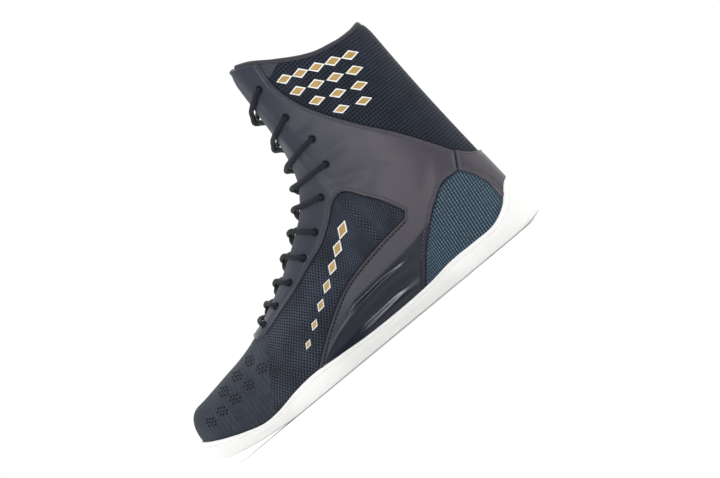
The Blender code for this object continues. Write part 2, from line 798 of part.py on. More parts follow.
class Instep:
    """The top of the foot, read by the distance down the ridge from the collar and the reach to a side."""

    def __init__(self):
        self.turns = np.linspace(UPPER.turn(COLLAR_FRONT_FOOT), UPPER.turn(TOE_FOOT), 1201)
        self.ridge = rib_controls(LATERAL, self.turns)[3]
        steps = np.linalg.norm(np.diff(self.ridge, axis=0), axis=1)
        self.travelled = np.concatenate([[0.0], np.cumsum(steps)])
        self.lines = {}

    def along(self, x):
        """Distance down the ridge at which it passes a place along the shoe."""
        return float(np.interp(x, self.ridge[:, 0], self.travelled))

    def ridge_at(self, distance):
        return np.array([np.interp(distance, self.travelled, self.ridge[:, axis]) for axis in range(3)])

    def way_at(self, distance):
        way = self.ridge_at(distance + 3.0) - self.ridge_at(distance - 3.0)
        way[1] = 0.0
        return way / np.linalg.norm(way)

    def line(self, side, reach):
        """Points and normals of the surface all along the foot at one reach from the ridge."""
        if (side, reach) not in self.lines:
            turns = np.linspace(UPPER.turn(SHAFT_MIDDLE), UPPER.turn(TOE_FOOT), 1601)
            turns = turns[UPPER.read("half", turns) <= reach]
            v = reach_v(side, turns, reach)
            self.lines[side, reach] = (upper_point(side, turns, v), upper_normal(side, turns, v))
        return self.lines[side, reach]

    def point(self, distance, reach, lift):
        """A point in the plane square to the ridge, raised from the surface; reach is signed."""
        points, normals = self.line(LATERAL if reach >= 0 else MEDIAL, abs(reach))
        ahead = (points - self.ridge_at(distance)) @ self.way_at(distance)
        place = np.array([np.interp(0.0, ahead, points[:, axis]) for axis in range(3)])
        normal = np.array([np.interp(0.0, ahead, normals[:, axis]) for axis in range(3)])
        return place + normal / np.linalg.norm(normal) * lift


def build_tongue(instep, material, parent):
    """A strip that follows the inside of the throat, from above the collar to under the vamp."""
    distances = np.linspace(TONGUE_START, instep.along(TONGUE_TUCK), TONGUE_STATIONS)
    reaches = np.linspace(-TONGUE_HALF, TONGUE_HALF, 2 * TONGUE_STEPS + 1)
    rows = [[instep.point(distance, reach, -TONGUE_DEPTH) for reach in reaches] for distance in distances]
    rows = np.array(rows)
    proud = rows[:1] - instep.way_at(TONGUE_START) * TONGUE_PROUD
    rows = np.concatenate([proud, rows])
    faces = grid_faces(rows.shape[0], rows.shape[1], 0, True)
    tongue = mesh_object("tongue", bent(rows.reshape(-1, 3)), faces, material, parent, closed=False)
    add_wall(tongue, TONGUE_THICKNESS, -1.0)
    return tongue


def over_leather(side, edge, hole):
    """Points from an edge of the throat to just before a hole, lifted clear of the leather."""
    x, z = hole
    return [side_point(side, edge[0] + (x - edge[0]) * share, edge[2] + (z - edge[2]) * share, lift)
            for share, lift in STRAND_OVER_LEATHER]


def strand_route(instep, lower, upper, side):
    """A strand from under one edge of the throat to the hole on the other side, one row up."""
    x, z, end = upper
    start = lower[2] - LACE_START_RISE
    first = STRAND_OVER_THROAT[0][0]
    whole = abs(side_point(side, x, z, 0.0)[1]) - first
    route = []
    for reach, lift in STRAND_OVER_THROAT:
        distance = start + (end - start) * (reach - first) / whole
        route.append(instep.point(distance, side * reach, lift))
    edge = instep.point(distance, side * THROAT_HALF, 0.0)
    return route + over_leather(side, edge, (x, z))


def bar_route(instep, row):
    """The lowest bar, from hole to hole across the throat."""
    x, z, distance = row
    reach, lift = STRAND_OVER_THROAT[-1]
    halves = []
    for side in SIDES:
        edge = instep.point(distance, side * reach, 0.0)
        middle = instep.point(distance, side * reach / 2, lift)
        halves.append([middle, instep.point(distance, side * reach, lift)] + over_leather(side, edge, (x, z)))
    return halves[0][::-1] + halves[1]


def build_lace(instep, material, parent):
    rows = EYELETS[::-1]
    tube("lace_bar", bar_route(instep, rows[0]), LACE_RADIUS, LACE_SIDES, material, parent)
    for number in range(1, len(rows)):
        routes = [strand_route(instep, rows[number - 1], rows[number], side) for side in SIDES]
        cross = tube("lace_cross_%d" % number, routes[0], LACE_RADIUS, LACE_SIDES, material, parent)
        cut(cross, tube("lace_strand", routes[1], LACE_RADIUS, LACE_SIDES), "UNION")


def main():
    clear_scene()
    rubber = finish_material("white_rubber", (0.88, 0.88, 0.86), 0.5)
    mesh_cloth = finish_material("navy_mesh", (0.024, 0.034, 0.05), 0.85)
    leather = finish_material("grey_leather", (0.078, 0.078, 0.098), 0.45)
    binding = finish_material("grey_binding", (0.12, 0.12, 0.14), 0.7)
    cord = finish_material("navy_lace", (0.022, 0.03, 0.04), 0.8)
    lining = finish_material("lining", (0.03, 0.032, 0.038), 0.9)
    centre = bpy.data.objects.new("floor_centre", None)
    bpy.context.scene.collection.objects.link(centre)
    turns = even_turns(STATIONS)
    instep = Instep()
    outsole = build_outsole(turns, rubber, centre)
    build_insole(turns, lining, centre)
    build_upper(turns, mesh_cloth, centre)
    build_tongue(instep, mesh_cloth, centre)
    build_saddles(turns, leather, centre)
    build_heel_strap(turns, leather, centre)
    build_collar_binding(binding, centre)
    build_lace(instep, cord, centre)
    corners = np.array(outsole.bound_box)
    middle = (corners.min(axis=0) + corners.max(axis=0)) / 2
    centre.location = (-middle[0], -middle[1], 0.0)


main()
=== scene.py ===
"""Looks of a high boxing shoe for the left foot, laid out as an add-on.

Tables and helper functions work in millimetres, with X from the back of the heel to the toe,
Y to the outer side of the foot and Z up from the floor. Meshes are written in metres.
"""

import math

import bpy
import numpy as np
from mathutils import Matrix, Vector


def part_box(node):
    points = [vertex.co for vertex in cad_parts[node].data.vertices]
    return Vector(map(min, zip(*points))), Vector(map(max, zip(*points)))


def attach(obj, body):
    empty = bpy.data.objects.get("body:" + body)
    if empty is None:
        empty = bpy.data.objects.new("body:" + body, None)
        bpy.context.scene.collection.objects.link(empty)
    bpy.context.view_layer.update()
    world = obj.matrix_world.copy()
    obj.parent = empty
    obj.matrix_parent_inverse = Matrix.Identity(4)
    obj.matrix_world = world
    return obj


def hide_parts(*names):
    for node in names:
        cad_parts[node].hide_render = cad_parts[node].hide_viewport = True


bl_info = {
    "name": "Boxing shoe",
    "version": (1, 0, 0),
    "blender": (4, 5, 0),
    "location": "3D View > Sidebar > Shoe",
    "description": "Builds the visible pieces of a high boxing shoe around its solid frame",
    "category": "Object",
}

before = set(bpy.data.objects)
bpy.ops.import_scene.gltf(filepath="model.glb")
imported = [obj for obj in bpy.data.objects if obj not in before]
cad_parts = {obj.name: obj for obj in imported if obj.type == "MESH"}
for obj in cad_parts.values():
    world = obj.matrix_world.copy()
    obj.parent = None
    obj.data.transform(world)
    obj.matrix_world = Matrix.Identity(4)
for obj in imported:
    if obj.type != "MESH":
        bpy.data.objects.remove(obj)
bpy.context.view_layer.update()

MM = 0.001
WHOLE_TURN = 2 * math.pi
FAR = 1e9

# Placing of the shoe's own frame, whose X starts at the back of the heel
CENTRE_X = -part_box("outsole")[0].x / MM
CENTRE_Y = -0.3

# Sole
SOLE_LENGTH = 290.0
TOE_SPRING = 11.0
SPRING_START = 205.0
HEEL_BEVEL = 4.0
HEEL_FLAT_START = 22.0
CUP_FLOOR = 6.7
LIP = 1.7
EDGE_ROUND = 3.2
TREAD_DEPTH = 1.8
TREAD_STEP = (0.0, 0.5, 1.0)
RING_PITCH = 1.7
TREAD_LINES = ((29.0, 10.6), (-11.0, 26.0))
TREAD_LINE_WIDTH = 1.1

# Insole: its gap over the cup's floor, and its edge as inset and depth below the top
INSOLE_GAP = 0.3
INSOLE_EDGE = ((3.4, 0.8), (3.7, 0.2), (4.4, 0.0))

# Groove along the side of the sole: its depth, its width as a share of the section's length, and
# where it lies between waist and rim
SIDE_GROOVE = 0.5
GROOVE_WIDTH = 0.006
GROOVE_PLACE = 0.55

# Upper
FEATHER_HEIGHT = 7.0
CUP_GAP = 0.45
THROAT_HALF = 13.0
THROAT_BASE = 209.0
THROAT_ROUND = 16.0
COLLAR_FRONT_HEIGHT = 213.0
COLLAR_CORNER = 13.0
COLLAR_FRONT_FOOT = 95.0
TOE_FOOT = 250.0
SHAFT_MIDDLE = 60.0

# Where the search for a rib's top end starts
RIB_LOW = 0.3

# Fineness: turns along a side and rows up it, or points along a line and sides round it
RIB_COUNT = 6000
SOLE_TURNS, WALL_ROWS, GROOVE_ROWS, TREAD_ROWS = 190, 26, 9, 91
INSOLE_TURNS = 120
CLOTH_TURNS, CLOTH_ROWS, LINING_ROWS = 260, 84, 40
SADDLE_TURNS, SADDLE_ROWS = 290, 190
STRAP_TURNS, STRAP_ROWS = 80, 150
TAPE_TURNS, TAPE_SIDES = 110, 14
TONGUE_ROWS, TONGUE_HEAD_ROWS, TONGUE_COLUMNS = 70, 10, 25
LACE_POINTS, LACE_SIDES, LACE_EASING = 90, 12, 12
LOZENGE_LOOPS, LOZENGE_SIDES = 5, 24
HOLE_SIDES = 10
STITCH_SIDES = 6

LATERAL = 1
MEDIAL = -1
SIDES = (LATERAL, MEDIAL)
SIDE_NAMES = {LATERAL: "lateral", MEDIAL: "medial"}


class Sections:
    """A short table whose columns are read as smooth curves from heel to toe.

    A turn of 0 is the heel end and 1 the toe end. Equal turns bunch up at both ends, as the
    points of a circle do seen from the side, so that the outline closes in round ends.
    """

    def __init__(self, names, rows):
        values = np.array(rows, float).T
        self.columns = dict(zip(names, values))
        self.first = values[0, 0]
        self.last = values[0, -1]
        self.turns = self.turn(values[0])

    def turn(self, x):
        share = np.clip((x - self.first) / (self.last - self.first), 0.0, 1.0)
        return np.arccos(1.0 - 2.0 * share) / math.pi

    def x(self, turn):
        return self.first + (self.last - self.first) * (1.0 - np.cos(math.pi * turn)) / 2.0

    def read(self, name, turn):
        return smooth(self.turns, self.columns[name], turn)


def bent_between(s, span, first, last, first_slope, last_slope):
    """A smooth curve from one value to the next, read at a share s of the span between them."""
    start = (2 * s ** 3 - 3 * s ** 2 + 1) * first + (s ** 3 - 2 * s ** 2 + s) * span * first_slope
    end = (3 * s ** 2 - 2 * s ** 3) * last + (s ** 3 - s ** 2) * span * last_slope
    return start + end


def smooth(knots, values, at):
    """A smooth curve through the knots, read at one or many places."""
    knots = np.asarray(knots, float)
    values = np.asarray(values, float)
    slopes = np.gradient(values, knots)
    index = np.clip(np.searchsorted(knots, at) - 1, 0, len(knots) - 2)
    span = knots[index + 1] - knots[index]
    return bent_between((at - knots[index]) / span, span, values[index], values[index + 1],
                        slopes[index], slopes[index + 1])


def travelled(points):
    """Distance from the first point, or row of points, to each of them along the way."""
    steps = np.linalg.norm(np.diff(points, axis=0), axis=-1)
    return np.concatenate([np.zeros_like(steps[:1]), np.cumsum(steps, axis=0)])


def along_line(at, knots, points):
    """Points of a line, read at places between its knots."""
    return np.stack([np.interp(at, knots, column) for column in points.T], axis=-1)


def unit(vectors):
    """Vectors made one long."""
    return vectors / np.linalg.norm(vectors, axis=-1, keepdims=True)


# The upper, a row for each rib. foot: place of the rib along the feather edge. lateral, medial:
# half widths there. top, half, height: where the rib ends on the collar or, with half 0, on the
# ridge of the instep. centre: sideways bend of the ridge. out, rise: swell of the side and the
# height at which it pulls. back, across, drop: pull of the top end towards heel, side and floor.
UPPER = Sections(
    ("foot", "lateral", "medial", "top", "half", "height", "centre",
     "out", "rise", "back", "across", "drop"),
    [
        (6.0, 0.0, 0.0, 13.5, 0.0, 179.5, 0.0, -3.0, 60.0, 0.0, 0.0, 70.0),
        (10.0, 14.0, 13.0, 15.0, 10.0, 178.5, 0.0, -2.5, 60.0, 0.0, 0.0, 70.0),
        (20.0, 26.5, 25.0, 21.5, 20.0, 177.0, 0.0, -1.0, 58.0, 0.0, 0.0, 70.0),
        (36.0, 35.0, 32.5, 35.0, 29.3, 177.5, 0.0, 0.5, 55.0, 0.0, 0.0, 70.0),
        (54.0, 38.0, 34.5, 54.0, 33.6, 182.5, 0.0, 0.5, 50.0, 0.0, 1.0, 70.0),
        (70.0, 36.8, 34.0, 74.0, 32.8, 194.0, 0.0, 1.0, 50.0, -1.0, 3.0, 70.0),
        (82.0, 34.0, 32.0, 92.0, 26.0, 206.0, 0.0, 2.0, 55.0, -4.0, 7.0, 62.0),
        (90.0, 32.2, 30.5, 106.0, 14.0, 212.0, 0.0, 3.0, 60.0, -8.0, 16.0, 46.0),
        (95.0, 31.0, 29.5, 112.0, 0.0, 213.0, 0.0, 4.0, 64.0, -12.0, 29.0, 30.0),
        (100.0, 30.0, 28.6, 113.0, 0.0, 189.0, 0.0, 5.0, 66.0, -14.0, 31.0, 14.0),
        (106.0, 29.0, 27.4, 114.0, 0.0, 161.0, -0.5, 5.5, 63.0, -13.0, 31.0, 6.0),
        (113.0, 28.3, 26.4, 118.0, 0.0, 134.0, -1.0, 5.5, 57.0, -9.0, 30.0, 0.0),
        (122.0, 27.6, 25.6, 127.0, 0.0, 116.0, -1.5, 5.5, 52.0, -4.0, 29.0, 0.0),
        (136.0, 28.8, 26.6, 141.0, 0.0, 102.0, -2.0, 5.0, 48.0, 0.0, 28.0, 0.0),
        (152.0, 34.0, 31.0, 157.0, 0.0, 90.5, -2.5, 4.5, 43.0, 0.0, 28.0, 0.0),
        (168.0, 41.5, 37.5, 172.0, 0.0, 80.5, -3.0, 4.0, 37.0, 0.0, 28.0, 0.0),
        (188.0, 47.6, 45.8, 190.0, 0.0, 71.0, -3.5, 3.5, 32.0, 0.0, 29.0, 0.0),
        (208.0, 45.8, 48.4, 208.0, 0.0, 63.0, -4.0, 3.0, 28.0, 0.0, 29.0, 0.0),
        (228.0, 37.6, 46.8, 228.0, 0.0, 56.0, -4.0, 3.5, 26.0, 0.0, 30.0, 0.0),
        (246.0, 33.0, 42.4, 245.0, 0.0, 51.5, -4.0, 4.0, 26.0, 0.0, 29.0, 0.0),
        (262.0, 28.6, 36.5, 258.0, 0.0, 47.5, -3.5, 4.5, 26.0, 2.0, 24.0, 0.0),
        (275.0, 20.6, 27.5, 266.0, 0.0, 44.5, -3.0, 5.0, 26.0, 8.0, 16.0, 0.0),
        (283.0, 11.0, 16.0, 270.0, 0.0, 43.0, -2.0, 5.0, 26.0, 12.0, 7.0, 0.0),
        (286.5, 0.0, 0.0, 271.0, 0.0, 42.5, -1.5, 5.0, 26.0, 14.0, 0.0, 0.0),
    ],
)

# The sole, a row for each place along the floor. lateral, medial: half widths of the tread
# outline. rim_lateral, rim_medial: height of the top edge of the side wall.
SOLE = Sections(
    ("foot", "lateral", "medial", "rim_lateral", "rim_medial"),
    [
        (0.0, 0.0, 0.0, 33.0, 33.0),
        (4.5, 16.0, 15.0, 30.0, 30.0),
        (13.0, 27.0, 25.5, 21.0, 23.0),
        (26.0, 35.0, 33.5, 15.0, 17.0),
        (44.0, 41.0, 37.4, 14.6, 14.0),
        (64.0, 42.0, 38.2, 14.6, 14.0),
        (84.0, 36.0, 33.3, 12.4, 12.4),
        (104.0, 31.0, 26.4, 11.6, 11.4),
        (126.0, 29.0, 22.6, 11.5, 11.2),
        (146.0, 33.2, 28.5, 12.0, 11.6),
        (166.0, 44.2, 39.2, 13.6, 13.0),
        (186.0, 51.6, 49.4, 15.2, 14.2),
        (206.0, 50.0, 52.6, 13.6, 14.6),
        (222.0, 42.0, 50.8, 10.6, 14.2),
        (238.0, 36.2, 47.4, 9.0, 12.6),
        (254.0, 34.8, 42.6, 11.0, 11.6),
        (268.0, 29.0, 36.8, 13.6, 13.6),
        (280.0, 19.6, 27.8, 16.0, 16.0),
        (287.0, 9.6, 17.0, 17.6, 17.6),
        (290.0, 0.0, 0.0, 18.0, 18.0),
    ],
)

# Raised tread pods in plan: centre, half length, half width and turn to the length in degrees.
PODS = (
    # x, y, half_length, half_width, degrees
    (267.0, 19.0, 33.0, 21.5, 0.0),
    (190.0, 29.5, 37.0, 26.5, 0.0),
    (204.0, -44.0, 34.0, 32.5, 0.0),
    (267.0, -24.0, 28.0, 19.0, 0.0),
    (55.0, 32.0, 29.0, 21.5, 0.0),
    (76.0, -24.5, 30.0, 24.0, 0.0),
    (18.0, -8.6, 28.0, 25.0, 0.0),
    (124.0, 6.8, 16.5, 8.5, 8.0),
)

# The sunk middle of the tread, which the pods cut into, in plan from heel along the outer side.
TREAD_FIELD = (
    (34.0, 14.0), (60.0, 22.0), (80.0, 26.3), (150.0, 25.5), (190.0, 28.0), (231.0, 31.0),
    (240.0, 20.0), (262.0, -3.5), (250.0, -20.0), (238.0, -40.0), (205.0, -40.0), (172.0, -33.0),
    (164.0, -28.5), (152.0, -20.5), (136.0, -14.8), (120.0, -12.3), (104.0, -14.5), (80.0, -20.0),
    (49.0, -14.0), (38.0, 0.0),
)

# Edges of the leather seen from the side, as places along the shoe and heights.
COLLAR_SEAM = ((83.0, 205.0), (84.5, 181.0), (80.0, 164.0), (69.0, 143.5), (55.5, 124.0), (41.0, 105.0),
               (28.7, 85.6), (20.0, 70.5))
HEEL_ARCH = ((26.2, 58.8), (37.0, 59.3), (50.4, 52.2), (64.0, 41.8), (81.0, 25.9), (93.0, 12.0))
WINDOW_LOW = ((184.0, 14.0), (160.0, 32.5), (139.0, 45.0), (101.5, 53.8), (73.0, 56.7))
WINDOW_TOP = ((69.8, 60.5), (75.0, 71.5), (83.7, 84.2), (97.3, 98.2), (104.0, 96.9), (116.4, 88.2),
              (131.0, 79.6), (146.0, 74.2), (158.0, 69.9), (170.0, 66.0), (184.0, 62.2), (196.0, 58.8),
              (203.0, 57.4), (207.5, 57.4), (210.5, 59.0), (212.0, 62.0))
COLLAR_TRIM = ((84.0, 204.0), (84.5, 188.0), (79.0, 190.0), (68.0, 194.0), (68.0, 206.0))
STRAP_TOP = ((19.4, 70.5), (12.8, 62.2), (4.0, 55.5))
STRAP_LOW = ((15.6, 20.0), (15.4, 28.0), (15.8, 38.8), (19.0, 48.1), (25.4, 58.8))
OVER_ALL = 230.0
HEEL_BACK = -10.0
HEEL_BACK_HIGH = 50.0
HEEL_BACK_LOW = 20.0

# The toe's knit lies ahead of this line, which leans back with its height
TOE_LINE = 232.0
TOE_LEAN = 0.55

# Ends of saddle, strap and binding along the feather edge, and how far the binding stands up
SADDLE_START = 14.0
SADDLE_END = 226.0
STRAP_END = 46.0
BINDING_END = 86.0
BINDING_RISE = 0.5

# All ribs of the toe end at one place: the way out of the upper there, and how far it counts
TIP_NORMAL = (0.45, 0.0, 0.89)
TIP_REACH = 0.06

# Ribs near the collar's front corner are averaged with their neighbours (shares of the turn)
EVEN_HALF = 0.042
EVEN_REACH = 0.013
EVEN_STEPS = 15

# Roll of the collar's edge, and its shares at places along the feather edge
ROLL_HEIGHT = 12.0
ROLL_DEPTH = 3.0
ROLL_PLACES = (6.0, 30.0, 60.0, 90.0)
ROLL_SHARES = (1.0, 0.8, 0.35, 0.0)

# Painted shade: the leather's colour darkens along the shoe towards the toe and upwards, with its height
# counted in part (metres)
LEATHER_PAINTED_SHADE_RISE = 0.55
LEATHER_PAINTED_SHADE = (-0.055, 0.05)

# A folded and stitched leather edge: heights as shares of the leather's height, places and widths
# as shares of the seam margin
FOLD_BEAD = 0.22
FOLD_PLACE = 0.45
FOLD_WIDTH = 0.3
SEAM_GROOVE = 0.24
SEAM_GROOVE_WIDTH = 0.22
RIM_CLEARANCE = 0.15

# Where the leather's triangles are cut, as shares of the edge roll and of the seam margin
ROLL_SPLITS = (0.12, 0.3, 0.6, 1.0)
SEAM_SPLITS = (0.4, 0.7, 0.85, 1.0, 1.15, 1.4)

# Kinds of cloth on the bootie, in the order of its looks, and how far the painted shade beside a leather edge
# reaches
COLLAR_CLOTH, HEEL_CLOTH, VAMP_CLOTH, LINING, TOE_CLOTH, TRIM = range(6)
PAINTED_SEAM_SHADE_REACH = 1.7

# Lace holes from the top down, seen from the side: place along the shoe, height, and the
# distance down the ridge from the collar at which their row crosses it.
EYELETS = (
    # x, z, distance
    (94.0, 187.5, 25.0),
    (92.0, 161.0, 50.0),
    (87.0, 138.0, 72.0),
    (91.0, 119.0, 87.0),
    (108.5, 104.0, 101.0),
    (128.0, 88.5, 118.0),
    (146.0, 80.0, 136.0),
    (164.5, 73.0, 155.0),
    (182.5, 66.5, 173.0),
    (198.0, 61.5, 189.0),
)

# Soft troughs and ridges seen from the side: half width, depth and the line they run along.
# A ridge has a depth below zero. All fade towards their ends.
CREASES = {
    LATERAL: (
        # width, depth, line
        (4.5, 1.0, ((104.0, 112.0), (88.0, 104.0), (68.0, 97.0))),
        (5.0, 0.9, ((101.0, 131.0), (88.0, 124.0), (66.0, 121.0))),
        (5.0, 0.6, ((98.0, 151.0), (76.0, 149.0))),
        (6.0, 1.1, ((193.0, 56.0), (206.0, 38.0), (215.0, 18.0))),
        (5.0, -0.8, ((204.0, 57.0), (217.0, 40.0), (226.0, 24.0))),
        (5.0, 0.7, ((214.0, 57.0), (228.0, 42.0), (238.0, 26.0))),
        (6.0, 0.6, ((152.0, 70.0), (142.0, 58.0), (132.0, 48.0))),
        (1.6, -0.8, ((180.0, 15.0), (157.0, 25.0), (137.0, 31.0), (112.0, 33.5), (86.0, 33.0))),
        (4.0, 1.2, ((170.0, 15.5), (140.0, 20.5), (110.0, 22.5), (84.0, 21.0))),
        (5.0, 0.7, ((34.0, 80.0), (44.0, 70.0), (54.0, 58.0))),
        (7.0, 0.8, ((60.0, 96.0), (82.0, 78.0), (92.0, 66.0))),
    ),
    MEDIAL: (
        # width, depth, line
        (4.5, 1.0, ((104.0, 110.0), (88.0, 102.0), (70.0, 96.0))),
        (5.0, 0.9, ((102.0, 131.0), (88.0, 124.0), (68.0, 119.0))),
        (6.0, 1.1, ((196.0, 57.0), (206.0, 38.0), (214.0, 18.0))),
        (5.0, -0.8, ((206.0, 57.0), (218.0, 40.0), (227.0, 24.0))),
        (1.8, -0.6, ((172.0, 17.0), (150.0, 25.0), (128.0, 30.0), (96.0, 31.0))),
        (5.0, 0.7, ((34.0, 78.0), (45.0, 68.0), (54.0, 58.0))),
        (7.0, 0.8, ((62.0, 96.0), (82.0, 78.0), (92.0, 66.0))),
    ),
}
CREASE_FADE = 0.7

# The glossy zone of the leather lies below this line, seen from the side.
GLOSS_LINE = np.array((
    (62.0, 44.0), (78.0, 41.0), (100.0, 39.0), (137.0, 36.0), (160.0, 26.0), (182.0, 13.0),
))
GLOSS_FADE = 4.0
GLOSSY_ROUGHNESS = 0.15

# Printed lozenges, seen from the side: first and last middle of a row, how many, their length and
# width, and by which share they shrink along the row.
LOZENGES = (
    # x0, z0, x1, z1, count, length, width, shrink
    (32.0, 165.0, 76.0, 181.0, 5, 10.6, 5.6, 0.0),
    (36.0, 155.0, 74.0, 169.0, 4, 11.0, 5.6, 0.0),
    (40.0, 145.0, 68.0, 155.5, 3, 11.0, 5.4, 0.0),
    (44.0, 135.0, 59.0, 140.5, 2, 10.6, 5.0, 0.0),
    (112.0, 78.0, 178.0, 33.0, 7, 12.5, 6.0, 0.5),
)
PRINT_EDGE = 1.44
WHITE_LIFT = 0.22
GOLD_LIFT = 0.34

# Groups of punched holes over the toe, seen from the side: the middle of each group, the holes of
# a group round it, and the section of a hole as shares of its radius and lifts.
TOE_GROUPS = (
    (216.0, 40.0), (231.0, 36.5), (245.0, 33.5), (258.0, 31.0), (270.0, 28.0),
    (222.0, 49.5), (236.0, 46.0), (250.0, 42.0),
)
TOE_GROUP_DOTS = (
    (-3.6, 2.2), (-1.2, 2.8), (1.2, 3.4), (-4.2, -0.4), (-1.8, 0.2), (0.6, 0.8), (3.0, 1.4),
    (-2.4, -2.4), (0.0, -1.8), (2.4, -1.2),
)
TOE_HOLE_RADIUS = 0.7
TOE_HOLE_SECTION = ((1.45, 0.02), (1.2, 0.2), (1.0, 0.18), (0.9, 0.07))
# Loops of a hole's rim; the faces inside them are a dark disc of painted shade
TOE_HOLE_RIM = 2

# Stitches: pitch and length as shares of the set pitch, thickness, and lift over the seam's groove.
PLAIN_STITCH = (1.0, 0.7, 0.34, 0.0)
DARK_STITCH = (1.1, 0.66, 0.5, 0.12)

# A stitch from end to end: place along it, width and rise as shares.
STITCH_RINGS = ((-0.5, 0.35, 0.0), (-0.32, 0.9, 0.75), (0.0, 1.0, 1.0), (0.32, 0.9, 0.75), (0.5, 0.35, 0.0))

# The tongue: half its width and the share of it where its edge starts to thin out, where it starts
# and ends, how far its head stands up, by which share the head's corners are lower, and its lip.
TONGUE_HALF = 21.0
TONGUE_EDGE = 0.9
TONGUE_START = 10.0
TONGUE_TUCK = 224.0
TONGUE_PROUD = 9.5
TONGUE_NECK = 2.0
TONGUE_ARCH = 0.7
TONGUE_LIP = 0.8

# A lace strand from under one edge of the throat over to the other edge, as reach and lift.
STRAND_OVER_THROAT = (
    # reach, lift
    (-12.2, -2.0),
    (-10.0, -0.6),
    (-5.0, 1.0),
    (0.0, 2.0),
    (6.0, 3.0),
    (13.0, 3.6),
)
STRAND_OVER_LEATHER = (0.1, 0.22, 0.4, 0.66, 0.86)
STRAND_PARTING = 1.1
STRAND_SPREAD = 5.0
STRAND_RISE = 5.0
LACE_SINK = 0.15
LACE_DIP = 0.45
LACE_DEPTH = 2.6
BAR_SINK = 0.6

# Gloss of every cloth
CLOTH_GLOSS = {"sheen": 0.05, "sheen_roughness": 0.5, "specular": 0.2}

# Lamps of the stage
LAMPS = (
    # name, place, width, height, power
    ("key", (-0.6, 1.4, 1.3), 0.9, 0.9, 9.0),
    ("fill", (1.1, 1.3, 0.35), 0.8, 0.5, 3.0),
    ("rim", (-0.3, -1.1, 1.2), 0.8, 0.8, 8.0),
    ("strip", (0.1, 1.45, 0.42), 1.3, 0.07, 6.5),
)
LAMP_AIM = Vector((0.0, 0.0, 0.08))
CAMERA_AIM = Vector((0.004, 0.0, 0.098))
FLOOR_REACH = 40.0
SKY_POWER = 0.3
SKY_ANGLE = 60.0

# The room's light falls from the wall behind the shoe to the camera's side
ROOM_TILT = -0.8
ROOM_FADE = (-0.3, 0.5)
ROOM_LIGHT = (1.02, 0.2)


def rocker(x):
    """Height that toe spring and heel bevel add at a place along the shoe."""
    toe = np.clip((x - SPRING_START) / (SOLE_LENGTH - SPRING_START), 0.0, None)
    heel = np.clip((HEEL_FLAT_START - x) / HEEL_FLAT_START, 0.0, None)
    return TOE_SPRING * toe ** 2 + HEEL_BEVEL * heel ** 2


def outline(table, side, turn):
    """Points of an outline in plan and the directions that lead out of it."""
    turn = np.asarray(turn, float)
    small = 1e-4
    before = np.clip(turn - small, 0.0, 1.0)
    after = np.clip(turn + small, 0.0, 1.0)
    name = SIDE_NAMES[side]
    along = table.x(after) - table.x(before)
    wide = table.read(name, after) - table.read(name, before)
    length = np.hypot(along, wide)
    point = np.stack([table.x(turn), side * table.read(name, turn)], axis=-1)
    way = np.stack([-wide / length, side * along / length], axis=-1)
    return point, way


def rib_controls(side, turn):
    """The four control points of the rib at each turn."""
    turn = np.asarray(turn, float)
    point, way = outline(UPPER, side, turn)
    level = np.full(turn.shape, FEATHER_HEIGHT)
    foot = np.stack([point[..., 0], point[..., 1], level], axis=-1)
    out = UPPER.read("out", turn)
    belly = np.stack(
        [point[..., 0] + way[..., 0] * out, point[..., 1] + way[..., 1] * out, UPPER.read("rise", turn)],
        axis=-1,
    )
    top_x = UPPER.read("top", turn)
    half = np.maximum(UPPER.read("half", turn), 0.0)
    centre = UPPER.read("centre", turn)
    height = UPPER.read("height", turn)
    top = np.stack([top_x, centre + side * half, height], axis=-1)
    reach = half + np.maximum(UPPER.read("across", turn), 0.0)
    shoulder = np.stack(
        [top_x + UPPER.read("back", turn), centre + side * reach, height - UPPER.read("drop", turn)],
        axis=-1,
    )
    return foot, belly, shoulder, top


RIBS = {}


def rib_table(side):
    """Control points of ribs at close turns, evened out where collar and throat meet."""
    if side not in RIBS:
        turns = np.linspace(0.0, 1.0, RIB_COUNT + 1)
        away = (turns - UPPER.turn(COLLAR_FRONT_FOOT)) / EVEN_HALF
        reach = EVEN_REACH * np.clip(1.0 - away ** 2, 0.0, 1.0) ** 2
        RIBS[side] = sum(np.stack(rib_controls(side, turns + step * reach))
                         for step in np.linspace(-1.0, 1.0, EVEN_STEPS)) / EVEN_STEPS
    return RIBS[side]


def upper_point(side, turn, v):
    """A point on the outside of the upper: v is 0 at the feather edge and 1 at the top line."""
    table = rib_table(side)
    at = np.asarray(turn, float) * RIB_COUNT
    first = np.clip(at.astype(int), 0, RIB_COUNT - 1)
    past = (at - first)[..., None]
    foot, belly, shoulder, top = table[:, first] * (1.0 - past) + table[:, first + 1] * past
    v = np.asarray(v, float)[..., None]
    return (
        (1 - v) ** 3 * foot
        + 3 * (1 - v) ** 2 * v * belly
        + 3 * (1 - v) * v ** 2 * shoulder
        + v ** 3 * top
    )


def upper_normal(side, turn, v):
    """The direction that leads out of the upper at a point."""
    small = 2e-3
    turn = np.asarray(turn, float)
    v = np.asarray(v, float)
    low, high = (np.clip(turn + step, 0.0, 1.0) for step in (-small, small))
    under, over = (np.clip(v + step, 0.0, 1.0) for step in (-small, small))
    along = upper_point(side, high, v) - upper_point(side, low, v)
    up = upper_point(side, turn, over) - upper_point(side, turn, under)
    normal = np.cross(along, up) * -side
    at_end = (turn <= 0.0) | (turn >= 1.0)
    normal[..., 1] = np.where(at_end, 0.0, normal[..., 1])
    tip = np.clip(2.0 - np.hypot(1.0 - turn, 1.0 - v) / TIP_REACH, 0.0, 1.0)[..., None]
    return unit(unit(normal) * (1.0 - tip) + tip * np.array(TIP_NORMAL))


def half_gap(turn):
    """Half the width of the throat where a rib meets the ridge."""
    top = UPPER.read("top", turn)
    past = np.clip((top - THROAT_BASE + THROAT_ROUND) / THROAT_ROUND, 0.0, 1.0)
    return np.where(top < SHAFT_MIDDLE, -COLLAR_CORNER, THROAT_HALF * np.sqrt(1.0 - past ** 2))


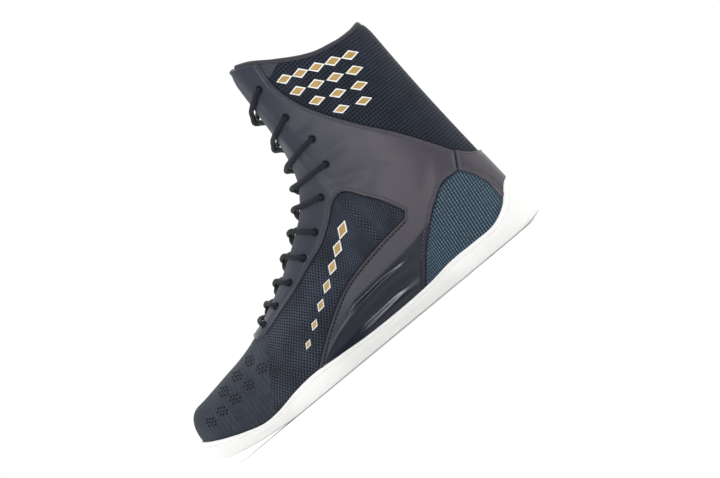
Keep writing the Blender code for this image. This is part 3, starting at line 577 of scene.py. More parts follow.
def inside_edge(side, turn, v):
    """How far a point is inside the edge of throat and collar corner, negative past it."""
    point = upper_point(side, turn, v)
    gap = half_gap(turn)
    reach = (point[..., 1] - UPPER.read("centre", turn)) * side
    across = gap + COLLAR_CORNER - reach
    above = point[..., 2] - COLLAR_FRONT_HEIGHT + COLLAR_CORNER
    corner = COLLAR_CORNER - np.hypot(across, above)
    return np.where((across > 0) & (above > 0), corner, reach - gap)


def solve_v(side, turn, measure, low=0.0):
    """The highest v on each rib at which a measure that falls along the rib is still above 0."""
    turn = np.asarray(turn, float)
    lower = np.full(turn.shape, low)
    upper = np.ones(turn.shape)
    whole = measure(side, turn, upper) >= 0
    for _ in range(40):
        middle = (lower + upper) / 2
        keep = measure(side, turn, middle) >= 0
        lower = np.where(keep, middle, lower)
        upper = np.where(keep, upper, middle)
    return np.where(whole, 1.0, lower)


def edge_v(side, turn):
    """Where the upper ends on each rib: at the collar, the throat or, past the throat, the ridge."""
    return solve_v(side, turn, inside_edge, low=RIB_LOW)


def height_v(side, turn, height):
    """Where each rib passes a height."""
    def below(which, at, v):
        return height - upper_point(which, at, v)[..., 2]
    return solve_v(side, turn, below)


def reach_v(side, turn, reach):
    """Where each rib comes nearer to the ridge than a reach."""
    def outside(which, at, v):
        return (upper_point(which, at, v)[..., 1] - UPPER.read("centre", at)) * which - reach
    return solve_v(side, turn, outside, low=RIB_LOW)


def side_place(side, x, z, first=SHAFT_MIDDLE, last=TOE_FOOT):
    """Turn and v of the point of the upper seen at a place and height from the side."""
    turns = np.linspace(UPPER.turn(first), UPPER.turn(last), 401)
    places = upper_point(side, turns, height_v(side, turns, z))[:, 0]
    turn = np.interp(x, places, turns)
    return turn, height_v(side, turn, z)


def side_point(side, x, z, lift):
    """The point of the upper seen at a place and height from the side, raised from the surface."""
    turn, v = side_place(side, x, z)
    return skin(side, turn, v, lift)


LOOKUP = {}


def lookup(side):
    """Turns, vs and points of a coarse grid over one side of the upper."""
    if side not in LOOKUP:
        turns, v = np.meshgrid(np.linspace(0.02, 0.98, 181), np.linspace(0.0, 1.0, 101))
        turns = turns.reshape(-1)
        v = v.reshape(-1)
        LOOKUP[side] = (turns, v, upper_point(side, turns, v))
    return LOOKUP[side]


def side_places(side, x, z):
    """Turns and vs of many points of the upper seen at places and heights from the side."""
    turns, v, grid = lookup(side)
    nearest = np.array([np.argmin((grid[:, 0] - at) ** 2 + (grid[:, 2] - up) ** 2)
                        for at, up in zip(x, z)])
    turn = turns[nearest]
    v = v[nearest]
    small = 1e-4
    least_area = 1e-3
    longest = 0.02
    for _ in range(8):
        here = upper_point(side, turn, v)
        along = (upper_point(side, turn + small, v) - here) / small
        up = (upper_point(side, turn, v + small) - here) / small
        miss_x = x - here[:, 0]
        miss_z = z - here[:, 2]
        area = along[:, 0] * up[:, 2] - along[:, 2] * up[:, 0]
        area = np.where(np.abs(area) < least_area, least_area, area)
        turn_step = np.clip((miss_x * up[:, 2] - miss_z * up[:, 0]) / area, -longest, longest)
        v_step = np.clip((along[:, 0] * miss_z - along[:, 2] * miss_x) / area, -longest, longest)
        turn = np.clip(turn + turn_step, 0.001, 0.999)
        v = np.clip(v + v_step, 0.0, 1.0)
    return turn, v


def collar_roll(turn, point):
    """How far the padded collar edge curls inwards at points, most at the back."""
    below = np.clip((UPPER.read("height", turn) - point[..., 2]) / ROLL_HEIGHT, 0.0, 1.0)
    share = np.interp(turn, [UPPER.turn(x) for x in ROLL_PLACES], ROLL_SHARES)
    return ROLL_DEPTH * share * (1.0 - np.sqrt(1.0 - (1.0 - below) ** 2))


def skin(side, turn, v, lift):
    """A point raised from the upper, with its creases and the roll of its collar."""
    point = upper_point(side, turn, v)
    height = lift + creases(side, point) - collar_roll(turn, point)
    return point + upper_normal(side, turn, v) * height[..., None]


def crease(x, z, width, depth, line):
    """How far one crease raises the surface at places seen from the side."""
    line = np.array(line)
    steps = np.linalg.norm(np.diff(line, axis=0), axis=1)
    before = travelled(line)
    nearest = np.full(x.shape, FAR)
    share = np.zeros(x.shape)
    for (x0, z0), (x1, z1), step, start in zip(line, line[1:], steps, before):
        along = np.clip(((x - x0) * (x1 - x0) + (z - z0) * (z1 - z0)) / step, 0.0, step)
        away = np.hypot(x - x0 - along * (x1 - x0) / step, z - z0 - along * (z1 - z0) / step)
        share = np.where(away < nearest, (start + along) / before[-1], share)
        nearest = np.minimum(nearest, away)
    return -depth * np.sin(math.pi * share) ** CREASE_FADE * np.exp(-(nearest / width) ** 2)


def creases(side, point):
    """How far all creases raise the surface at points."""
    return sum(crease(point[..., 0], point[..., 2], *row) for row in CREASES[side])


def curve_through(points, count):
    """A smooth line through a few points."""
    points = np.array(points, float)
    knots = travelled(points)
    at = np.linspace(0.0, knots[-1], count)
    return np.column_stack([smooth(knots, column, at) for column in points.T])


def inside_distance(x, y, corners):
    """Distance of points inside a flat outline from its edge, negative outside."""
    corners = np.asarray(corners, float)
    nearest = np.full(x.shape, FAR)
    inside = np.zeros(x.shape, bool)
    for (x0, y0), (x1, y1) in zip(corners, np.roll(corners, -1, axis=0)):
        length = (x1 - x0) ** 2 + (y1 - y0) ** 2
        if length < 1e-9:
            continue
        share = np.clip(((x - x0) * (x1 - x0) + (y - y0) * (y1 - y0)) / length, 0.0, 1.0)
        away = np.hypot(x - x0 - share * (x1 - x0), y - y0 - share * (y1 - y0))
        nearest = np.minimum(nearest, away)
        if y1 != y0:
            crossing = x0 + (y - y0) * (x1 - x0) / (y1 - y0)
            inside ^= ((y0 > y) != (y1 > y)) & (x < crossing)
    return np.where(inside, nearest, -nearest)


def inside_form(point, corners):
    """Distance of points inside an outline seen from the side, negative outside."""
    return inside_distance(point[:, 0], point[:, 2], corners)


def saddle_outline():
    """Edge of the saddle and eyestay seen from the side."""
    return np.concatenate([
        curve_through(COLLAR_SEAM, 60),
        curve_through(HEEL_ARCH, 40),
        [(HEEL_ARCH[-1][0], 0.0), (WINDOW_LOW[0][0], 0.0)],
        curve_through(WINDOW_LOW, 40),
        curve_through(WINDOW_TOP, 80),
        [(WINDOW_TOP[-1][0], OVER_ALL), (COLLAR_SEAM[0][0], OVER_ALL)],
    ])


def strap_outline():
    """Edge of the heel strap seen from the side."""
    return np.concatenate([
        curve_through(STRAP_TOP, 24),
        [(HEEL_BACK, HEEL_BACK_HIGH), (HEEL_BACK, HEEL_BACK_LOW)],
        curve_through(STRAP_LOW, 30),
    ])


def collar_outline():
    """Edge of the collar cloth seen from the side."""
    return np.concatenate([
        curve_through(COLLAR_SEAM, 40),
        curve_through(STRAP_TOP, 16),
        [(HEEL_BACK, HEEL_BACK_HIGH), (HEEL_BACK, OVER_ALL), (COLLAR_SEAM[0][0], OVER_ALL)],
    ])


def heel_outline():
    """Edge of the heel cloth seen from the side."""
    return np.concatenate([
        [(HEEL_BACK, 0.0), (HEEL_BACK, HEEL_BACK_HIGH)],
        curve_through(STRAP_TOP, 16)[::-1],
        curve_through(HEEL_ARCH, 40),
        [(HEEL_ARCH[-1][0], 0.0)],
    ])


class Patch:
    """Triangles whose corners have named values, such as a turn and a v on the upper."""

    def __init__(self, values, faces):
        self.values = values
        self.faces = faces

    def split(self, name, level):
        """Cuts the triangles along the line where a value passes a level."""
        height = self.values[name] - level
        above = height[self.faces] > 0
        count = above.sum(axis=1)
        mixed = (count == 1) | (count == 2)
        faces = self.faces[mixed]
        lone = np.where((count[mixed] == 1)[:, None], above[mixed], ~above[mixed]).argmax(axis=1)
        rows = np.arange(len(faces))
        a = faces[rows, lone]
        b = faces[rows, (lone + 1) % 3]
        c = faces[rows, (lone + 2) % 3]
        ends = np.sort(np.concatenate([np.column_stack([a, b]), np.column_stack([a, c])]), axis=1)
        if not len(ends):
            return
        ends, place = np.unique(ends, axis=0, return_inverse=True)
        place = place.reshape(-1)
        share = height[ends[:, 0]] / (height[ends[:, 0]] - height[ends[:, 1]])
        first = len(height)
        for key, value in self.values.items():
            weight = share if value.ndim == 1 else share[:, None]
            fresh = value[ends[:, 0]] + (value[ends[:, 1]] - value[ends[:, 0]]) * weight
            self.values[key] = np.concatenate([value, fresh])
        ab = first + place[:len(a)]
        ac = first + place[len(a):]
        self.faces = np.concatenate([
            self.faces[~mixed],
            np.column_stack([a, ab, ac]),
            np.column_stack([ab, b, c]),
            np.column_stack([ab, c, ac]),
        ])

    def keep(self, name, level=0.0):
        """Cuts along a level and drops what lies below it."""
        self.split(name, level)
        self.faces = self.faces[self.values[name][self.faces].mean(axis=1) > level]

    def compact(self):
        """Drops corners that no triangle uses."""
        used, faces = np.unique(self.faces, return_inverse=True)
        self.faces = faces.reshape(-1, 3)
        self.values = {key: value[used] for key, value in self.values.items()}


def grid_faces(rows, columns, turned):
    """Triangles of a grid whose points are listed row by row."""
    corner = (np.arange(rows - 1)[:, None] * columns + np.arange(columns - 1)[None, :]).reshape(-1)
    faces = np.concatenate([
        np.column_stack([corner, corner + 1, corner + columns + 1]),
        np.column_stack([corner, corner + columns + 1, corner + columns]),
    ])
    return faces[:, ::-1] if turned else faces


def ring_faces(loops, count):
    """Triangles between closed loops of the same count."""
    loop = np.arange(loops - 1)[:, None] * count
    place = np.arange(count)[None, :]
    low = (loop + place).reshape(-1)
    after = (loop + (place + 1) % count).reshape(-1)
    return np.concatenate([
        np.column_stack([low, after, after + count]),
        np.column_stack([low, after + count, low + count]),
    ])


def disc_faces(loops, count):
    """Triangles between closed loops and, inside the last one, round a middle point."""
    last = (loops - 1) * count + np.arange(count)
    middle = np.full(count, loops * count)
    return np.concatenate([ring_faces(loops, count), np.column_stack([last, np.roll(last, -1), middle])])


ALONG_TURNS = np.linspace(0.0, 1.0, 801)
ALONG = travelled(upper_point(LATERAL, ALONG_TURNS, 0.45))


def even_turns(count, first=0.0, last=1.0):
    """Turns that share out the length of feather edge and top line between two turns."""
    fine = np.linspace(first, last, 4001)
    foot, _, _, top = rib_controls(LATERAL, fine)
    length = travelled(foot) + travelled(top)
    return np.interp(np.linspace(0.0, length[-1], count), length, fine)


def side_patch(side, turns, rows):
    """A grid over one side of the upper from the feather edge to collar, throat or ridge."""
    v = np.linspace(0.0, 1.0, rows)[:, None] * edge_v(side, turns)
    turn = np.broadcast_to(turns, v.shape)
    point = upper_point(side, turn, v)
    rise = travelled(point)
    values = {
        "turn": turn.reshape(-1),
        "v": v.reshape(-1),
        "point": point.reshape(-1, 3),
        "from_edge": (rise[-1:] - rise).reshape(-1),
        "cloth": np.stack([np.interp(turn, ALONG_TURNS, ALONG), rise], axis=-1).reshape(-1, 2),
    }
    return Patch(values, grid_faces(rows, len(turns), side == LATERAL))


def hole_distance(side, point):
    """Distance of points from the rims of the lace holes on a side."""
    nearest = np.full(len(point), FAR)
    for x, z, _ in EYELETS:
        turn, v = side_place(side, x, z)
        nearest = np.minimum(nearest, np.linalg.norm(point - upper_point(side, turn, v), axis=1))
    return nearest - size("hole_radius")


def srgb(code):
    """A linear colour from a hexadecimal one."""
    parts = [int(code[place:place + 2], 16) / 255 for place in (1, 3, 5)]
    return tuple(part / 12.92 if part <= 0.04045 else ((part + 0.055) / 1.055) ** 2.4 for part in parts)


def in_world(points):
    """Points of the shoe's own frame raised by toe spring and heel bevel, in metres."""
    points = np.array(points, float)
    points[:, 2] += rocker(points[:, 0])
    return (points - (CENTRE_X, CENTRE_Y, 0.0)) * MM


def mesh_piece(name, points, faces, looks, slot, replaced=(), kinds=None, **values):
    """A smooth mesh of the shoe that rides on its body; values are numbers or places per point."""
    mesh = bpy.data.meshes.new(name)
    mesh.from_pydata(in_world(points).tolist(), [], np.asarray(faces).tolist())
    for look in looks:
        mesh.materials.append(look)
    mesh.shade_smooth()
    if kinds is not None:
        mesh.polygons.foreach_set("material_index", np.asarray(kinds, np.int32))
    for key, value in values.items():
        value = np.asarray(value, np.float32)
        if value.ndim == 1:
            mesh.attributes.new(key, "FLOAT", "POINT").data.foreach_set("value", value)
        else:
            flat = np.pad(value, ((0, 0), (0, 1)))
            mesh.attributes.new(key, "FLOAT_VECTOR", "POINT").data.foreach_set("vector", flat.reshape(-1))
    thing = bpy.data.objects.new(name, mesh)
    bpy.context.scene.collection.objects.link(thing)
    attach(thing, "root")
    if replaced:
        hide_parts(*replaced)
    return thing


class Nodes:
    """A node tree under construction: adds nodes and links them."""

    def __init__(self, tree):
        self.tree = tree

    def put(self, socket, value):
        """Gives a socket a link or a constant."""
        if isinstance(value, bpy.types.NodeSocket):
            self.tree.links.new(value, socket)
        elif isinstance(value, tuple) and len(value) == 3 and socket.type == "RGBA":
            socket.default_value = (*value, 1.0)
        else:
            socket.default_value = value

    def node(self, kind, inputs=(), **settings):
        node = self.tree.nodes.new(kind)
        for key, value in settings.items():
            setattr(node, key, value)
        for key, value in dict(inputs).items():
            self.put(node.inputs[key], value)
        return node

    def sums(self, operation, first, second=0.0, third=0.0):
        return self.node("ShaderNodeMath", {0: first, 1: second, 2: third}, operation=operation).outputs[0]

    def wave(self, operation, value, pitch):
        return self.sums(operation, self.sums("MULTIPLY", value, WHOLE_TURN / pitch))

    def steps(self, value, low, high, start=0.0, end=1.0):
        inputs = {"Value": value, "From Min": low, "From Max": high, "To Min": start, "To Max": end}
        return self.node("ShaderNodeMapRange", inputs, interpolation_type="SMOOTHSTEP").outputs["Result"]

    def parts(self, vector):
        return self.node("ShaderNodeSeparateXYZ", {"Vector": vector}).outputs

    def length(self, vector):
        return self.node("ShaderNodeVectorMath", {0: vector}, operation="LENGTH").outputs["Value"]


class Look(Nodes):
    """A material under construction."""

    SOCKETS = {"colour": "Base Color", "roughness": "Roughness", "normal": "Normal", "sheen": "Sheen Weight",
               "sheen_roughness": "Sheen Roughness", "specular": "Specular IOR Level",
               "glow": "Emission Color", "glow_strength": "Emission Strength"}

    def __init__(self, name):
        self.material = bpy.data.materials.new(name)
        self.material.use_nodes = True
        super().__init__(self.material.node_tree)

    def attribute(self, name, part="Fac"):
        return self.node("ShaderNodeAttribute", attribute_name=name).outputs[part]

    def cloth(self):
        return self.attribute("cloth", "Vector")

    def place(self):
        return self.node("ShaderNodeTexCoord").outputs["Object"]

    def noise(self, where, scale, detail=2.0, roughness=0.5, part="Fac"):
        inputs = {"Vector": where, "Scale": scale, "Detail": detail, "Roughness": roughness}
        return self.node("ShaderNodeTexNoise", inputs).outputs[part]

    def mix(self, share, first, second):
        return self.node("ShaderNodeMix", {0: share, 6: first, 7: second}, data_type="RGBA").outputs[2]

    def bump(self, height, distance, strength=1.0, **under):
        inputs = {"Height": height, "Distance": distance * MM, "Strength": strength, **under}
        return self.node("ShaderNodeBump", inputs).outputs["Normal"]

    def finish(self, **inputs):
        shader = self.tree.nodes["Principled BSDF"]
        for key, value in inputs.items():
            self.put(shader.inputs[self.SOCKETS[key]], value)
        return self.material


def lattice(look, where, across, up, straight=False):
    """Height of a net of round holes: about 2 on the threads and -2 in a hole."""
    parts = look.parts(where)
    s = look.sums("MULTIPLY", parts["X"], WHOLE_TURN / across)
    t = look.sums("MULTIPLY", parts["Y"], WHOLE_TURN / up)
    if not straight:
        s, t = look.sums("ADD", s, t), look.sums("SUBTRACT", s, t)
    return look.sums("ADD", look.sums("COSINE", s), look.sums("COSINE", t))


def painted_seam_shade(look, colour, dark):
    """Paints shade on cloth in the narrow step beside a leather edge."""
    return look.mix(look.steps(look.attribute("seam"), 0.0, PAINTED_SEAM_SHADE_REACH, 0.2, 1.0), dark, colour)


def mesh_look(name, thread, hole, across, up, straight=False):
    """Woven mesh: threads round small dark holes, with uneven yarn."""
    look = Look(name)
    cloth = look.cloth()
    sway = look.noise(cloth, 0.12, 1.0, part="Color")
    bent = look.node("ShaderNodeVectorMath", {0: cloth, 1: sway}, operation="ADD").outputs[0]
    threads = look.steps(lattice(look, bent, across, up, straight), -1.2, 0.2)
    broad = look.sums("MULTIPLY", look.noise(cloth, 0.05, 3.0), 0.5)
    shade = look.sums("MULTIPLY_ADD", look.noise(cloth, 1.3, 3.0, 0.6), 0.5, broad)
    yarn_tone = look.mix(look.steps(shade, 0.36, 0.64, 0.0, 0.6), thread, hole)
    height = look.sums("MULTIPLY_ADD", look.noise(cloth, 4.0), 0.4, threads)
    return look.finish(
        colour=painted_seam_shade(look, look.mix(threads, hole, yarn_tone), hole),
        roughness=look.steps(threads, 0.0, 1.0, 0.9, 0.68),
        normal=look.bump(height, 0.4, 0.9),
        **CLOTH_GLOSS,
    )


def twill_look(name, thread, dark, pitch):
    """Coarse weave: light threads up the shoe, broken by those that cross them."""
    look = Look(name)
    cloth = look.cloth()
    parts = look.parts(cloth)
    slanted = look.sums("MULTIPLY_ADD", parts["Y"], 0.12, parts["X"])
    over = look.steps(look.wave("SINE", slanted, pitch), -0.35, 0.7)
    breaks = look.steps(look.wave("SINE", parts["Y"], pitch), -0.9, 0.2, 0.35, 1.0)
    threads = look.sums("MULTIPLY", over, breaks)
    yarn = look.noise(cloth, 0.9, 3.0, 0.6)
    yarn_tone = look.mix(look.steps(yarn, 0.35, 0.65, 0.0, 0.55), thread, dark)
    return look.finish(
        colour=painted_seam_shade(look, look.mix(threads, dark, yarn_tone), dark),
        roughness=look.steps(threads, 0.0, 1.0, 0.85, 0.6),
        normal=look.bump(threads, 0.4, 0.9),
        **CLOTH_GLOSS,
    )


def knit_look(name, thread, dark):
    """Close knit of the toe: fine ribs with small loops."""
    look = Look(name)
    cloth = look.cloth()
    net = lattice(look, cloth, 1.9, 2.5)
    ribs = look.wave("COSINE", look.parts(cloth)["X"], 3.8)
    loops = look.steps(look.sums("MULTIPLY_ADD", ribs, 0.5, net), -1.6, 1.2)
    broad = look.noise(cloth, 0.06, 3.0)
    yarn_tone = look.mix(look.steps(broad, 0.35, 0.65, 0.0, 0.5), thread, dark)
    height = look.sums("MULTIPLY_ADD", look.noise(cloth, 4.0), 0.3, loops)
    return look.finish(
        colour=look.mix(loops, dark, yarn_tone),
        roughness=0.82,
        normal=look.bump(height, 0.35, 0.8),
        **CLOTH_GLOSS,
    )


def leather_look(name, roughness, specular):
    """Smooth synthetic leather: fine grain, uneven gloss, a darker glossy zone by the sole, painted shade
    towards the toe and top, and a painted highlight along the folded edges.
    """
    colour, dark, low = (tone(part) for part in ("leather", "leather_dark", "leather_low"))
    look = Look(name)
    place = look.place()
    cells = look.node("ShaderNodeTexVoronoi", {"Vector": place, "Scale": 1100.0}, feature="DISTANCE_TO_EDGE")
    grain = look.steps(cells.outputs["Distance"], 0.0, 0.3)
    broad = look.noise(place, 26.0, 3.0)
    height = look.sums("MULTIPLY_ADD", look.noise(place, 220.0), 1.5, grain)
    gloss = look.attribute("gloss")
    parts = look.parts(place)
    # Painted shade: the colour darkens towards the toe and upwards, its border broken up by noise
    front = look.sums("MULTIPLY_ADD", parts["Z"], LEATHER_PAINTED_SHADE_RISE, parts["X"])
    front = look.sums("MULTIPLY_ADD", look.sums("SUBTRACT", broad, 0.5), 0.03, front)
    shade = look.mix(look.steps(front, *LEATHER_PAINTED_SHADE), colour, dark)
    shade = look.mix(look.steps(gloss, 0.0, 1.0, 0.0, 0.92), shade, low)
    # Painted highlight: the leather is lighter along its folded edges, broken up by noise
    painted_edge_highlight = look.steps(look.attribute("edge"), 0.2, 1.1, 0.55, 0.0)
    painted_edge_highlight = look.sums("MULTIPLY", painted_edge_highlight, look.steps(broad, 0.3, 0.6, 0.4, 1.0))
    rough = look.steps(broad, 0.3, 0.7, roughness - 0.05, roughness + 0.06)
    relief = look.sums("MULTIPLY", height, look.steps(gloss, 0.0, 0.6, 1.0, 0.0))
    return look.finish(
        colour=look.mix(painted_edge_highlight, shade, tuple(min(1.0, part * 2.2) for part in colour)),
        roughness=look.sums("MULTIPLY_ADD", look.steps(gloss, 0.0, 1.0), GLOSSY_ROUGHNESS - roughness, rough),
        specular=specular,
        normal=look.bump(relief, 0.05, 0.3),
    )


def rubber_look(name):
    """White moulded rubber with fine rings on the tread pods and thin lines between them, darkened in their
    grooves as painted shade.
    """
    look = Look(name)
    waves = look.wave("SINE", look.length(look.attribute("ring", "Vector")), RING_PITCH)
    on_pod = look.steps(look.attribute("on_pod"), 0.8, 2.5)
    rings = look.sums("MULTIPLY", look.steps(waves, 0.3, 0.95), on_pod)
    parts = look.parts(look.cloth())
    lines = []
    for degrees, pitch in TREAD_LINES:
        lean = math.radians(degrees)
        across = look.sums("MULTIPLY", parts["Y"], -math.sin(lean))
        across = look.sums("MULTIPLY_ADD", parts["X"], math.cos(lean), across)
        thin = math.cos(math.pi * TREAD_LINE_WIDTH / pitch)
        lines.append(look.steps(look.wave("COSINE", across, pitch), thin, (1.0 + thin) / 2))
    cross = look.sums("MULTIPLY", look.sums("MAXIMUM", *lines), look.steps(look.attribute("sunk"), 1.2, 2.4))
    height = look.sums("SUBTRACT", look.sums("MULTIPLY", cross, 0.8), rings)
    place = look.place()
    dust = look.noise(place, 30.0, 4.0)
    shade = look.mix(look.steps(dust, 0.4, 0.8, 0.0, 0.7), tone("rubber"), tone("rubber_dark"))
    # Painted shade: rings and lines are darkened where they are grooved
    painted_groove_shade = look.sums("MULTIPLY", look.sums("MAXIMUM", rings, cross), 0.16)
    return look.finish(
        colour=look.mix(painted_groove_shade, shade, (0.3, 0.3, 0.31)),
        roughness=look.steps(dust, 0.3, 0.8, 0.36, 0.5),
        specular=0.4,
        normal=look.bump(height, 0.4, 0.9, Normal=look.bump(look.noise(place, 900.0), 0.02, 0.3)),
    )


def print_look(name, colour, dark, roughness):
    """A thin printed film with a faint brushed tone."""
    look = Look(name)
    streaks = look.noise(look.place(), 400.0, 3.0)
    return look.finish(
        colour=look.mix(look.steps(streaks, 0.3, 0.7, 0.0, 0.6), colour, dark),
        roughness=roughness,
        normal=look.bump(streaks, 0.05, 0.4),
    )


def braid_look(name, colour, dark, pitch):
    """Round braid: crossing slanted threads along a cord."""
    look = Look(name)
    threads = look.steps(lattice(look, look.cloth(), pitch, pitch * 1.3), -1.5, 1.0)
    return look.finish(
        colour=look.mix(threads, dark, colour),
        roughness=0.72,
        normal=look.bump(threads, 0.25, 0.8),
        **CLOTH_GLOSS,
    )


def plain_look(name, colour, dark, roughness, scale):
    """A quiet cloth or thread."""
    look = Look(name)
    spots = look.noise(look.place(), scale, 3.0)
    return look.finish(
        colour=look.mix(look.steps(spots, 0.35, 0.65), colour, dark),
        roughness=roughness,
        specular=0.3,
        normal=look.bump(spots, 0.1, 0.5),
    )


def tube_points(route, radius, sides):
    """Points, faces and cloth places of a round cord along a route."""
    ways = unit(np.gradient(route, axis=0))
    across = np.cross(ways[0], (0.0, 0.0, 1.0))
    angle = np.linspace(0.0, WHOLE_TURN, sides + 1)
    rings = []
    for place, way in zip(route, ways):
        across = unit(across - way * np.dot(across, way))
        other = np.cross(way, across)
        rings.append(place + radius * (np.cos(angle)[:, None] * across + np.sin(angle)[:, None] * other))
    cloth = np.stack(np.meshgrid(travelled(route), angle * radius, indexing="ij"), axis=-1)
    return np.concatenate(rings), grid_faces(len(route), sides + 1, True), cloth.reshape(-1, 2)


def joined(parts):
    """Points, faces and any further values of several parts as one."""
    firsts = np.cumsum([0] + [len(part[0]) for part in parts])
    parts = [(part[0], np.asarray(part[1]) + first, *part[2:]) for part, first in zip(parts, firsts)]
    return [np.concatenate(column) for column in zip(*parts)]


def around(turns, make_point):
    """A closed loop of points: along the outer side to the toe and back along the inner side."""
    lateral = make_point(LATERAL, turns)
    medial = make_point(MEDIAL, turns)[1:-1][::-1]
    return np.concatenate([lateral, medial])


def halves(loop, count):
    """The outer and the inner half of a closed loop, both from heel to toe."""
    return loop[:count], np.concatenate([loop[:1], loop[count:][::-1], loop[count - 1:count]])


def inset_level(table, inset, height):
    """A maker of points on an outline that is drawn in and raised to a height."""
    def make(side, at):
        point, way = outline(table, side, at)
        return np.column_stack([point - way * inset, np.full(len(at), height)])
    return make


def cup_wall(side, turns, height):
    """Points of the cup's inner wall: the upper's outside at a height, one gap further out."""
    v = height_v(side, turns, height)
    _, way = outline(UPPER, side, turns)
    points = upper_point(side, turns, v)
    points[..., :2] += way * CUP_GAP
    points[..., 2] = height
    return points


def rim_height(side, turns):
    """Height of the sole's top edge."""
    return SOLE.read("rim_" + SIDE_NAMES[side], turns)


def sole_loops(turns):
    """The loops of the cup sole, from the tread outwards, over the rim and down inside."""

    def inner(share):
        def make(side, at):
            return cup_wall(side, at, CUP_FLOOR + share * (rim_height(side, at) - CUP_FLOOR))
        return make

    def rim(outwards, lower):
        def make(side, at):
            points = cup_wall(side, at, rim_height(side, at))
            _, way = outline(UPPER, side, at)
            points[..., :2] += way * outwards
            points[..., 2] -= lower
            return points
        return make

    def waistline(side, at):
        low = inset_level(SOLE, 0.0, 0.0)(side, at)
        high = rim(LIP, 0.0)(side, at)
        _, way = outline(SOLE, side, at)
        points = low * 0.45 + high * 0.55
        points[..., :2] += way * 0.8
        points[..., 2] = 0.62 * high[..., 2]
        return points

    makers = (
        inset_level(SOLE, EDGE_ROUND, 0.0),
        inset_level(SOLE, 0.28 * EDGE_ROUND, 0.3 * EDGE_ROUND),
        inset_level(SOLE, 0.0, 1.1 * EDGE_ROUND),
        waistline,
        rim(LIP + 0.1, 0.8),
        rim(0.65 * LIP, 0.0),
        inner(1.0),
        inner(0.0),
    )
    return np.array([around(turns, maker) for maker in makers])


def loop_between(knots, loops, level):
    """A loop between two given ones, on smooth curves through all of them."""
    index = min(int(np.searchsorted(knots, level, side="right")) - 1, len(knots) - 2)
    span = knots[index + 1] - knots[index]
    low = max(index - 1, 0)
    high = min(index + 2, len(knots) - 1)
    first = (loops[index + 1] - loops[low]) / (knots[index + 1] - knots[low])
    last = (loops[high] - loops[index]) / (knots[high] - knots[index])
    return bent_between((level - knots[index]) / span, span, loops[index], loops[index + 1], first, last)


def pod_places(x, y):
    """Distance of points inside the nearest pod's edge, and their places from its middle."""
    best = np.full(x.shape, -FAR)
    ring = np.zeros((len(x), 2))
    for pod_x, pod_y, long, wide, degrees in PODS:
        lean = math.radians(degrees)
        along = ((x - pod_x) * math.cos(lean) + (y - pod_y) * math.sin(lean)) / long
        across = ((y - pod_y) * math.cos(lean) - (x - pod_x) * math.sin(lean)) / wide
        inside = (1.0 - np.hypot(along, across)) * min(long, wide)
        places = np.column_stack([along, across]) * (long + wide) / 2
        ring = np.where((inside > best)[:, None], places, ring)
        best = np.maximum(best, inside)
    return best, ring


class Instep:
    """The top of the foot, read by the distance down the ridge and the reach to a side."""

    def __init__(self):
        turns = np.linspace(UPPER.turn(COLLAR_FRONT_FOOT), UPPER.turn(TOE_FOOT), 1201)
        self.ridge = rib_controls(LATERAL, turns)[3]
        self.travelled = travelled(self.ridge)
        self.lines = {}

    def along(self, x):
        """Distance down the ridge at which it passes a place along the shoe."""
        return float(np.interp(x, self.ridge[:, 0], self.travelled))

    def ridge_at(self, distance):
        return along_line(distance, self.travelled, self.ridge)

    def way_at(self, distance):
        way = self.ridge_at(distance + 3.0) - self.ridge_at(distance - 3.0)
        way[1] = 0.0
        return unit(way)

    def line(self, side, reach):
        """Points and normals of the surface all along the foot at one reach from the ridge."""
        if (side, reach) not in self.lines:
            turns = np.linspace(UPPER.turn(SHAFT_MIDDLE), UPPER.turn(TOE_FOOT), 1601)
            turns = turns[UPPER.read("half", turns) <= reach]
            v = reach_v(side, turns, reach)
            self.lines[side, reach] = (upper_point(side, turns, v), upper_normal(side, turns, v))
        return self.lines[side, reach]

    def point(self, distance, reach, lift):
        """A point in the plane square to the ridge, raised from the surface; reach is signed."""
        points, normals = self.line(LATERAL if reach >= 0 else MEDIAL, abs(reach))
        ahead = (points - self.ridge_at(distance)) @ self.way_at(distance)
        return along_line(0.0, ahead, points) + unit(along_line(0.0, ahead, normals)) * lift


INSTEP = Instep()


def length_setting(name, description, default):
    return bpy.props.FloatProperty(
        name=name, description=description, default=default, subtype="DISTANCE", unit="LENGTH")


def angle_setting(name, description, degrees):
    return bpy.props.FloatProperty(
        name=name, description=description, default=math.radians(degrees), subtype="ANGLE")


def colour_setting(name, description, code):
    return bpy.props.FloatVectorProperty(
        name=name, description=description, default=srgb(code), size=3, min=0.0, max=1.0, subtype="COLOR")


class ShoeSettings(bpy.types.PropertyGroup):
    """Sizes that the visible pieces are made with."""

    wall: length_setting("Wall", "Thickness of the mesh bootie", 0.0024)
    leather: length_setting("Leather", "Height of the leather over the mesh", 0.0016)
    edge_roll: length_setting("Edge roll", "Width over which a folded edge rounds off", 0.0013)
    hole_radius: length_setting("Lace hole", "Radius of a punched lace hole", 0.0021)
    lace_radius: length_setting("Lace", "Radius of the round lace", 0.0018)
    binding_radius: length_setting("Binding", "Radius of the bound collar edge", 0.0019)
    tongue_depth: length_setting("Tongue depth", "How deep the tongue lies under the throat", 0.0044)
    tongue_thickness: length_setting("Tongue", "Thickness of the tongue", 0.0026)
    stitch_pitch: length_setting("Stitch", "From one stitch to the next", 0.0026)
    stitch_inset: length_setting("Seam margin", "From the folded edge to the stitches", 0.0022)
    insole_thickness: length_setting("Insole", "Thickness of the sock liner", 0.0034)


